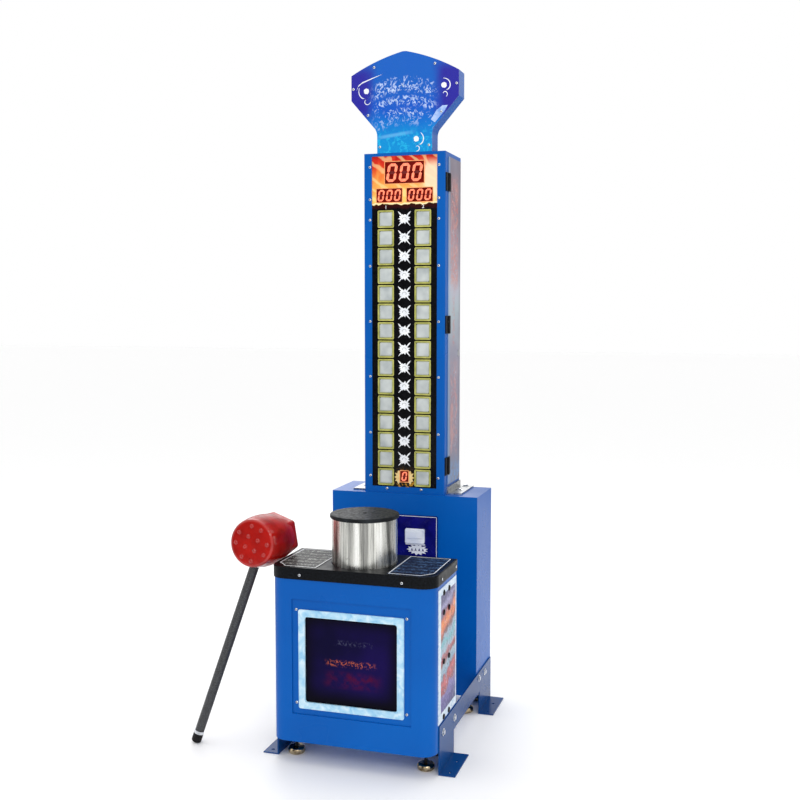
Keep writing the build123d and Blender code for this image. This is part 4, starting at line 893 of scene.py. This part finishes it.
def make_emblems(white, grey):
    """A splash over two crossed mallets between the lamps of each row but the lowest."""
    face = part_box("display_panel")[0][1]
    rows = sorted({round((bottom + top) / 2, 5) for left, bottom, right, top in lamp_cells()})[1:]
    chance = random.Random(4)
    arm = [(-0.7, -31), (0.7, -31), (2.1, -16), (1.5, 10), (2.6, 24)]
    arm += [(0.5, 33), (-0.5, 33), (-2.6, 24), (-1.5, 10), (-2.1, -16)]
    long, short, wide, tall = 20.5, 14.5, 1.04, 0.86
    swirl = []
    for across, up, steps in ((7.5, 6, range(15)), (6.2, 4.8, reversed(range(15)))):
        angles = [math.radians(200 - 17 * step) for step in steps]
        swirl += [(across * math.cos(angle), up * math.sin(angle)) for angle in angles]
    mallets, splashes, marks = [], [], []
    for row in rows:
        plane = upright(0, face, row)
        for side in (-1, 1):
            turn = Matrix.Rotation(math.radians(42) * side, 4, "Z")
            mallets.append(flat_shapes([in_mm(arm)], 0.5 * MM, plane @ turn))
        splash = uneven_round(22, short / long, long * wide, long * tall, 0.86, 1.06, chance)
        splashes.append(flat_shapes([in_mm(splash)], 1.0 * MM, plane))
        marks.append(flat_shapes([in_mm(swirl)], 1.15 * MM, plane))
    add_piece("emblem_mallets", joined(mallets), white)
    add_piece("emblem_splashes", joined(splashes), white)
    add_piece("emblem_marks", joined(marks), grey)


def digit(left, bottom, width, height, stroke, lean):
    """The seven segments of a display digit, as outlines: the six of a nought, then the middle bar."""
    half = stroke / 2
    gap = stroke * 0.03
    x0, x1 = left + half, left + width - half
    y0, y1, y2 = bottom + half, bottom + height / 2, bottom + height - half

    def bar(ax, ay, bx, by):
        way = Vector((bx - ax, by - ay)).normalized()
        side = Vector((-way.y, way.x)) * half
        start = Vector((ax, ay)) + way * gap
        end = Vector((bx, by)) - way * gap
        points = [start, start + way * half + side, end - way * half + side, end]
        points += [end - way * half - side, start + way * half - side]
        return [(point.x + (point.y - bottom) * lean, point.y) for point in points]

    sides = [bar(x0, y0, x0, y1), bar(x0, y1, x0, y2), bar(x1, y0, x1, y1), bar(x1, y1, x1, y2)]
    return sides + [bar(x0, y0, x1, y0), bar(x0, y2, x1, y2), bar(x0, y1, x1, y1)]


def make_displays(lit, unlit, rim):
    """Noughts on the four score windows, each window with a thin printed rim that is given a painted glow.
    """
    glass = upright(0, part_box("score_displays")[0][1], 0)
    panel = upright(0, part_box("display_panel")[0][1], 0)
    lean, edge, one_digit_width = 0.16, 2.2 * MM, 40 * MM
    bright, dim, rims = [], [], []
    for points in islands("score_displays"):
        across = [point.x for point in points]
        up = [point.z for point in points]
        window = (min(across), min(up), max(across), max(up))
        left, bottom, right, top = window
        width, height = right - left, top - bottom
        count = 1 if width < one_digit_width else 3
        tall = height * 0.84
        wide = tall * 0.56
        pitch = width / (count + 0.12)
        for place in range(count):
            middle = (left + right) / 2 + (place - (count - 1) / 2) * pitch
            start = middle - wide / 2 - lean * tall / 2
            bars = digit(start, bottom + (height - tall) / 2, wide, tall, tall * 0.15, lean)
            bright += [flat_shapes([loop], 0.4 * MM, glass) for loop in bars[:6]]
            dim.append(flat_shapes([bars[6]], 0.3 * MM, glass))
        rims.append(flat_shapes(frame_loops(inset(window, -edge), edge, 2.5 * MM), 0.4 * MM, panel))
    add_piece("lit_segments", joined(bright), lit)
    add_piece("unlit_segments", joined(dim), unlit)
    add_piece("display_rims", joined(rims), rim)


def make_numerals(white):
    """A small 1 and 2 over the two lamp columns."""
    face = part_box("display_panel")[0][1]
    cells = list(lamp_cells())
    top = max(cell[3] for cell in cells)
    half = 0.2 * MM
    made = []
    for text, column in (("1", cells[0]), ("2", cells[-1])):
        curve = bpy.data.curves.new("numeral", "FONT")
        curve.body = text
        curve.size = 17 * MM
        curve.extrude = half
        curve.align_x = "CENTER"
        mesh = mesh_of(curve)
        mesh.transform(upright((column[0] + column[2]) / 2, face - half, top + 5 * MM))
        made.append(mesh)
    add_piece("column_numerals", joined(made), white)


def make_credit_wings(cream):
    """Flame wings each side of the credit window."""
    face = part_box("display_panel")[0][1]
    middle = min((bottom + top) / 2 for left, bottom, right, top in lamp_cells())
    wing = [(17, -20), (22, -24), (26, -14), (33, -13), (28, -5), (36, 0)]
    wing += [(28, 5), (34, 15), (25, 13), (22, 24), (17, 20)]
    loops = [in_mm([(side * x, y) for x, y in wing]) for side in (-1, 1)]
    shapes = [flat_shapes([loop], 0.4 * MM, upright(0, face, middle)) for loop in loops]
    add_piece("credit_wings", joined(shapes), cream)


# ---------------------------------------------------------------- header
def curl(radius, turns, start, width, sweep):
    """A flat spiral stroke, thick in its middle and fine at its ends."""
    steps = 46
    outer, inner = [], []
    for step in range(steps + 1):
        share = step / steps
        angle = math.radians(start) + sweep * turns * 2 * math.pi * share
        reach = radius * (1 - 0.62 * share)
        half = width * math.sin(math.pi * min(0.08 + share, 1)) ** 0.6 / 2
        outer.append(polar(reach + half, angle))
        inner.append(polar(reach - half, angle))
    return outer + inner[::-1]


def make_header_curls(white, face, chance):
    """Three double curls with a ball in each, and a sweeping stroke over the left one."""
    curls, spots = [], []
    places = [(-132, 2122, 31, 150, 1), (139, 2128, 26, 100, -1), (44, 1957, 27, 60, -1)]
    for x, z, radius, start, sweep in places:
        plane = upright(x * MM, face, z * MM)
        large = curl(radius, 0.62, start, 3.4, sweep)
        small = curl(radius * 0.42, 0.7, start + 200, 2.6, -sweep)
        below = Matrix.Translation((0, -radius * 0.95 * MM, 0))
        curls.append(flat_shapes([in_mm(large)], 0.4 * MM, plane))
        curls.append(flat_shapes([in_mm(small)], 0.4 * MM, plane @ below))
        ball = uneven_round(20, 1, 9.5, 9.5, 0.88, 1.06, chance)
        aside = Matrix.Translation((-2 * MM, 4 * MM, 0))
        spots.append(flat_shapes([in_mm(ball)], 0.5 * MM, plane @ aside))
    tail = [(-168, 2128), (-166, 2140), (-150, 2152), (-112, 2166)]
    tail += [(-74, 2180), (-112, 2169), (-148, 2157), (-163, 2146)]
    curls.append(flat_shapes([in_mm(tail)], 0.35 * MM, upright(0, face, 0)))
    add_piece("header_curls", joined(curls), white)
    add_piece("header_spots", joined(spots), white)


def make_header_flecks(pale, face, chance):
    """Three arched rows of brush flecks across the middle, and a splash to their right."""
    flecks = []
    rows = [(2112, 22, 34, 92), (2077, 16, 30, 84), (2044, 8, 20, 62)]
    for row, (base, rise, count, reach) in enumerate(rows):
        for step in range(count):
            share = (step + 0.5) / count * 2 - 1
            x = share * reach + chance.uniform(-3, 3)
            z = base + rise * (1 - share * share) + chance.uniform(-11, 11)
            half_length = chance.uniform(7, 19) / 2
            half = chance.uniform(1.6, 4.6) / 2
            bend = chance.uniform(-3.5, 3.5)
            tip = chance.uniform(-1, 1)
            leaf = [(0, -half_length), (bend + half, 0), (tip, half_length), (bend - half, 0)]
            turn = Matrix.Rotation(chance.uniform(-0.9, 0.9) + (0.5 if row else -0.2), 4, "Z")
            flecks.append(flat_shapes([in_mm(leaf)], 0.3 * MM, upright(x * MM, face, z * MM) @ turn))
    splash = [(92, 2022), (112, 2052), (132, 2066), (150, 2066), (138, 2046), (122, 2030), (106, 2012)]
    flecks.append(flat_shapes([in_mm(splash)], 0.3 * MM, upright(0, face, 0)))
    add_piece("header_flecks", joined(flecks), pale)


def make_header_drawing(white, pale):
    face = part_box("header_face")[0][1]
    chance = random.Random(11)
    make_header_curls(white, face, chance)
    make_header_flecks(pale, face, chance)


# ---------------------------------------------------------------- table, controls and window
def make_table_lines(white):
    """A fine white line round each speckled plate, just inside its edge."""
    low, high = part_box("table_plates")
    inward, width = 2 * MM, 2.6 * MM
    inner_x = 113 * MM
    cut_x, cut_y = 33 * MM, 38 * MM
    corner_shift = 0.42  # of the step inwards, at each end of a cut corner
    lines = []
    for side in (-1, 1):
        loops = []
        for step in (inward, inward + width):
            slope = step * corner_shift
            loops.append([
                (side * (inner_x + step), low[1] + step),
                (side * (high[0] - cut_x - slope), low[1] + step),
                (side * (high[0] - step), low[1] + cut_y + slope),
                (side * (high[0] - step), high[1] - step),
                (side * (inner_x + step), high[1] - step),
            ])
        lines.append(flat_shapes(loops, 0.3 * MM, Matrix.Translation((0, 0, high[2]))))
    add_piece("table_lines", joined(lines), white)


def make_control_prints(white, navy):
    """A pale line along the edge, and under the start button a band and a burst with four up arrows."""
    low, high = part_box("control_plate")
    button_low, button_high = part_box("start_bezel")
    face, under, thick = low[1], button_low[2], 0.35 * MM
    plane = upright(0, face, 0)
    edge = inset((low[0], low[2], high[0], high[2]), 3 * MM)
    line = flat_shapes(frame_loops(edge, 1.4 * MM, 4 * MM), 0.3 * MM, plane)
    middle_x = (button_low[0] + button_high[0]) / 2 + 8 * MM
    middle_z = under - 23 * MM
    rays = uneven_round(26, 0.72, 40, 19, 0.92, 1.05, random.Random(9))
    burst = flat_shapes([in_mm(rays)], thick, upright(middle_x, face, middle_z))
    strip = (button_low[0] - 1 * MM, under - 7 * MM, button_high[0] + 1 * MM, under - 2 * MM)
    band = flat_shapes([rounded_box(strip, 1.5 * MM)], thick, plane)
    add_piece("control_prints", joined([line, burst, band]), white)
    arrow = in_mm([(-4, -6), (0, 6), (4, -6), (0, -3)])
    marks = []
    for step in range(4):
        x = middle_x + (step - 1.5) * 13 * MM
        marks.append(flat_shapes([arrow], 0.3 * MM, upright(x, face - thick, middle_z)))
    add_piece("control_marks", joined(marks), navy)


def make_window_trim(pale):
    """A raised inner lip and outer rim on the window frame."""
    low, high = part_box("window_frame")
    plane = upright(0, low[1], 0)
    outline = (low[0], low[2], high[0], high[2])
    lip = frame_loops(inset(outline, 17.5 * MM), 3.6 * MM, 9 * MM)
    rim = frame_loops(inset(outline, 1 * MM), 2 * MM, 5 * MM)
    shapes = [flat_shapes(lip, 0.9 * MM, plane, 0.3 * MM), flat_shapes(rim, 0.6 * MM, plane, 0.2 * MM)]
    add_piece("window_lips", joined(shapes), pale)


# ---------------------------------------------------------------- target, mallet and door
def make_spring(material):
    """The coil spring, at its full length: the mesh stays as it is when the target goes down."""
    low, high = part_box("return_spring")
    wire = 3.5 * MM
    centre_x, centre_y = (low[0] + high[0]) / 2, (low[1] + high[1]) / 2
    mean = (high[0] - low[0]) / 2 - wire
    turns, per_turn, sides = 7, 36, 10
    section = [polar(wire, 2 * math.pi * side / sides) for side in range(sides)]
    made = bmesh.new()
    rings = []
    for step in range(turns * per_turn + 1):
        share = step / (turns * per_turn)
        angle = share * turns * 2 * math.pi
        height = low[2] + wire + share * (high[2] - low[2] - 2 * wire)
        out = Vector((math.cos(angle), math.sin(angle), 0))
        centre = Vector((centre_x, centre_y, height)) + out * mean
        rings.append([made.verts.new(centre + out * away + Vector((0, 0, up))) for away, up in section])
    skin(made, rings)
    made.faces.new(rings[0])
    made.faces.new(rings[-1][::-1])
    bmesh.ops.recalc_face_normals(made, faces=made.faces)
    coil = add_piece("coil_spring", finished(made, "coil"), material, smooth=True)
    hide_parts("return_spring")
    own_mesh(coil)


def handle_frame():
    """The mallet handle's lower end, upper end and unit axis, from the CAD handle's own vertices."""
    points = [vertex.co.copy() for vertex in nodes["mallet_handle"].data.vertices]
    lowest = min(points, key=lambda point: point.z)
    highest = max(points, key=lambda point: point.z)
    middle = middle_of(points)
    axis = (highest - lowest).normalized()
    for _ in range(6):
        reach = [(point - middle).dot(axis) for point in points]
        start = middle_of([point for point, way in zip(points, reach) if way < min(reach) + 4 * MM])
        end = middle_of([point for point, way in zip(points, reach) if way > max(reach) - 4 * MM])
        axis = (end - start).normalized()
    return start, end, axis


def make_grip(material):
    """The handle's sleeve, moulded with crossing spiral ridges."""
    start, end, axis = handle_frame()
    plane = Matrix.Translation(start) @ axis.to_track_quat("Z", "Y").to_matrix().to_4x4()
    length = (end - start).length
    radius, ridge, pitch, starts = 14.3 * MM, 0.7 * MM, 26 * MM, 6
    steps, sides = int(length / (1.25 * MM)), 60
    made = bmesh.new()
    rings = []
    for step in range(steps + 1):
        height = length * step / steps
        twist = 2 * math.pi * height / pitch
        ring = []
        for side in range(sides):
            angle = 2 * math.pi * side / sides
            left_hand = math.cos(starts * (angle + twist / 2)) ** 6
            right_hand = math.cos(starts * (angle - twist / 2)) ** 6
            reach = radius + ridge * max(left_hand, right_hand)
            ring.append(made.verts.new(plane @ Vector((*polar(reach, angle), height))))
        rings.append(ring)
    skin(made, rings)
    made.faces.new(rings[0][::-1])
    made.faces.new(rings[-1])
    mesh = finished(made, "sleeve")
    sleeve = add_piece("grip_sleeve", mesh, material, body="mallet", smooth=True)
    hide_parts("mallet_handle")


def make_louvres(material):
    """Pressed hoods over the service door's vents."""
    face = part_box("cabinet_door")[1][1]
    centre_z, rows, pitch, half = 0.640, 8, 14 * MM, 84 * MM
    rise, reach, sheet = 5.5 * MM, 5 * MM, 0.7 * MM
    steps, across = 8, 12
    made = bmesh.new()
    for row in range(rows):
        middle = (row - (rows - 1) / 2) * pitch
        grid = []
        for column in range(across + 1):
            share = column / across * 2 - 1
            taper = max(1 - abs(share) ** 8, 0.0)
            line = []
            for step in range(steps + 1):
                angle = math.pi / 2 * step / steps
                up = rise * math.cos(angle)
                out = reach * math.sin(angle) * taper
                line.append(made.verts.new((middle + up - 2.5 * MM, face + out, centre_z + share * half)))
            grid.append(line)
        for near, far in zip(grid, grid[1:]):
            for step in range(steps):
                made.faces.new((near[step], far[step], far[step + 1], near[step + 1]))
    bmesh.ops.remove_doubles(made, verts=made.verts, dist=0.01 * MM)
    bmesh.ops.solidify(made, geom=made.faces[:], thickness=sheet)
    bmesh.ops.recalc_face_normals(made, faces=made.faces)
    mesh = finished(made, "hoods")
    add_piece("door_louvres", mesh, material, body="cabinet_door", smooth=True)


# ---------------------------------------------------------------- the whole scene
def main():
    blue = powder_coat("blue_paint", ink(0, 82, 166), ink(0, 94, 182))
    dark_blue = powder_coat("bracket_paint", ink(0, 50, 108), ink(6, 70, 134), 0.24)
    zinc = steel("zinc", ink(150, 152, 154), ink(206, 208, 208), (140, 140, 40), 0.34)
    bright = chrome("bright_zinc", ink(236, 238, 240), ink(196, 200, 206))
    bronze_chrome = chrome("bronze_chrome", ink(214, 196, 160), ink(120, 100, 74))
    silver = chrome("silver", ink(226, 228, 232), ink(176, 180, 186))
    black_paint = powder_coat("black_paint", ink(14, 14, 16), ink(30, 30, 34), 0.34)
    black_plastic = plastic("black_plastic", ink(16, 16, 18), ink(34, 34, 36))
    white_plastic = plastic("white_plastic", ink(214, 222, 236), ink(242, 246, 250), 0.3)
    white_print = plastic("white_print", ink(222, 226, 232), ink(248, 250, 252), 0.45, 200, 0.00002)
    grey_print = plastic("grey_print", ink(120, 122, 126), ink(158, 160, 162), 0.5, 200, 0.00002)
    pale_print = plastic("pale_print", ink(120, 160, 226), ink(206, 222, 248), 0.4, 200, 0.00002)
    cream_print = plastic("cream_print", ink(222, 178, 96), ink(250, 232, 178), 0.4, 200, 0.00002)
    yellow = plastic("yellow_frame", ink(168, 170, 82), ink(214, 212, 120), 0.35, 260, 0.00004)
    red_plastic = plastic("red_plastic", ink(168, 14, 14), ink(210, 30, 24), 0.25)
    navy = plastic("navy_film", ink(8, 8, 84), ink(18, 18, 112), 0.2, 200, 0.00002)
    display_red = plastic("display_red", ink(76, 8, 6), ink(124, 20, 12), 0.15, 200, 0.00002, 0.15)
    spring_steel = steel("spring_steel", ink(96, 98, 102), ink(150, 152, 156), (90, 90, 90), 0.35)
    bronze = steel("bronze", ink(150, 104, 52), ink(196, 150, 84), (60, 60, 200), 0.35)
    pad_rubber = rubber("pad_rubber", ink(16, 18, 20), ink(36, 40, 44), 0.5)
    black_rubber = rubber("black_rubber", ink(16, 16, 18), ink(34, 34, 36))
    salmon = glowing("lit_salmon", ink(255, 140, 104), 0.6, ink(226, 84, 60))
    # Unlit segments are given a faint painted glow, though they are not lit.
    ember = glowing("unlit_red_painted_glow", ink(120, 16, 12), 0.05, ink(84, 10, 8))
    # The printed window rims are given a painted glow, though they are no lamp.
    rim = glowing("rim_orange_painted_glow", ink(250, 170, 110), 0.2, ink(230, 130, 70))

    paint(blue, "pedestal_shell", "pedestal_rear_panel", "cabinet_shell", "cabinet_door")
    paint(blue, "tower_shell", "header_shell")
    paint(dark_blue, "side_brackets")
    paint(black_table(), "tabletop")
    paint(table_film(), "table_plates")
    paint(window_surround(), "window_frame")
    paint(dark_window(), "window_pane")
    paint(side_art(), "side_art_panels")
    paint(door_art(), "tower_door")
    paint(header_art(), "header_face")
    paint(flame_panel(), "display_panel")
    paint(drum_steel(), "strike_drum")
    paint(pad_rubber, "strike_pad")
    paint(black_rubber, "buffer_ring", "mallet_end_cap")
    paint(glossy_mallet(), "mallet_head")
    paint(silver, "mallet_collar", "coin_slot_plate", "tower_lock", "cabinet_lock")
    paint(bronze_chrome, "foot_glides")
    paint(black_paint, "foot_stems", "fixed_hinge_leaves", "tower_hinge_moving", "cabinet_hinge_moving")
    paint(bright, "hinge_pins", "hex_bolts")
    paint(zinc, "tower_flanges", "frame_rails", "guide_plates", "strike_plate", "plunger", "wiring_conduit")
    paint(zinc, "cash_box", "power_supply")
    paint(bronze, "guide_bushes")
    paint(circuit(), "control_board", "light_boards")
    paint(white_plastic, "start_bezel", "start_button", "header_light")
    paint(red_plastic, "coin_reject_button", "power_rocker")
    paint(navy, "control_plate")
    paint(black_plastic, "power_inlet", "speaker", "coin_mech", "start_switch", "impact_sensor")
    paint(display_red, "score_displays")

    make_pan_heads(bright, black_plastic)
    make_button_heads(black_paint, black_plastic)
    make_washers(bright)
    make_lamps(yellow, lens_plastic(), black_plastic)
    make_emblems(white_print, grey_print)
    make_displays(salmon, ember, rim)
    make_numerals(white_print)
    make_credit_wings(cream_print)
    make_header_drawing(white_print, pale_print)
    make_table_lines(white_print)
    make_control_prints(white_print, navy)
    make_window_trim(window_surround())
    make_spring(spring_steel)
    make_grip(grip())
    make_louvres(blue)

    make_studio()
    make_camera()


main()
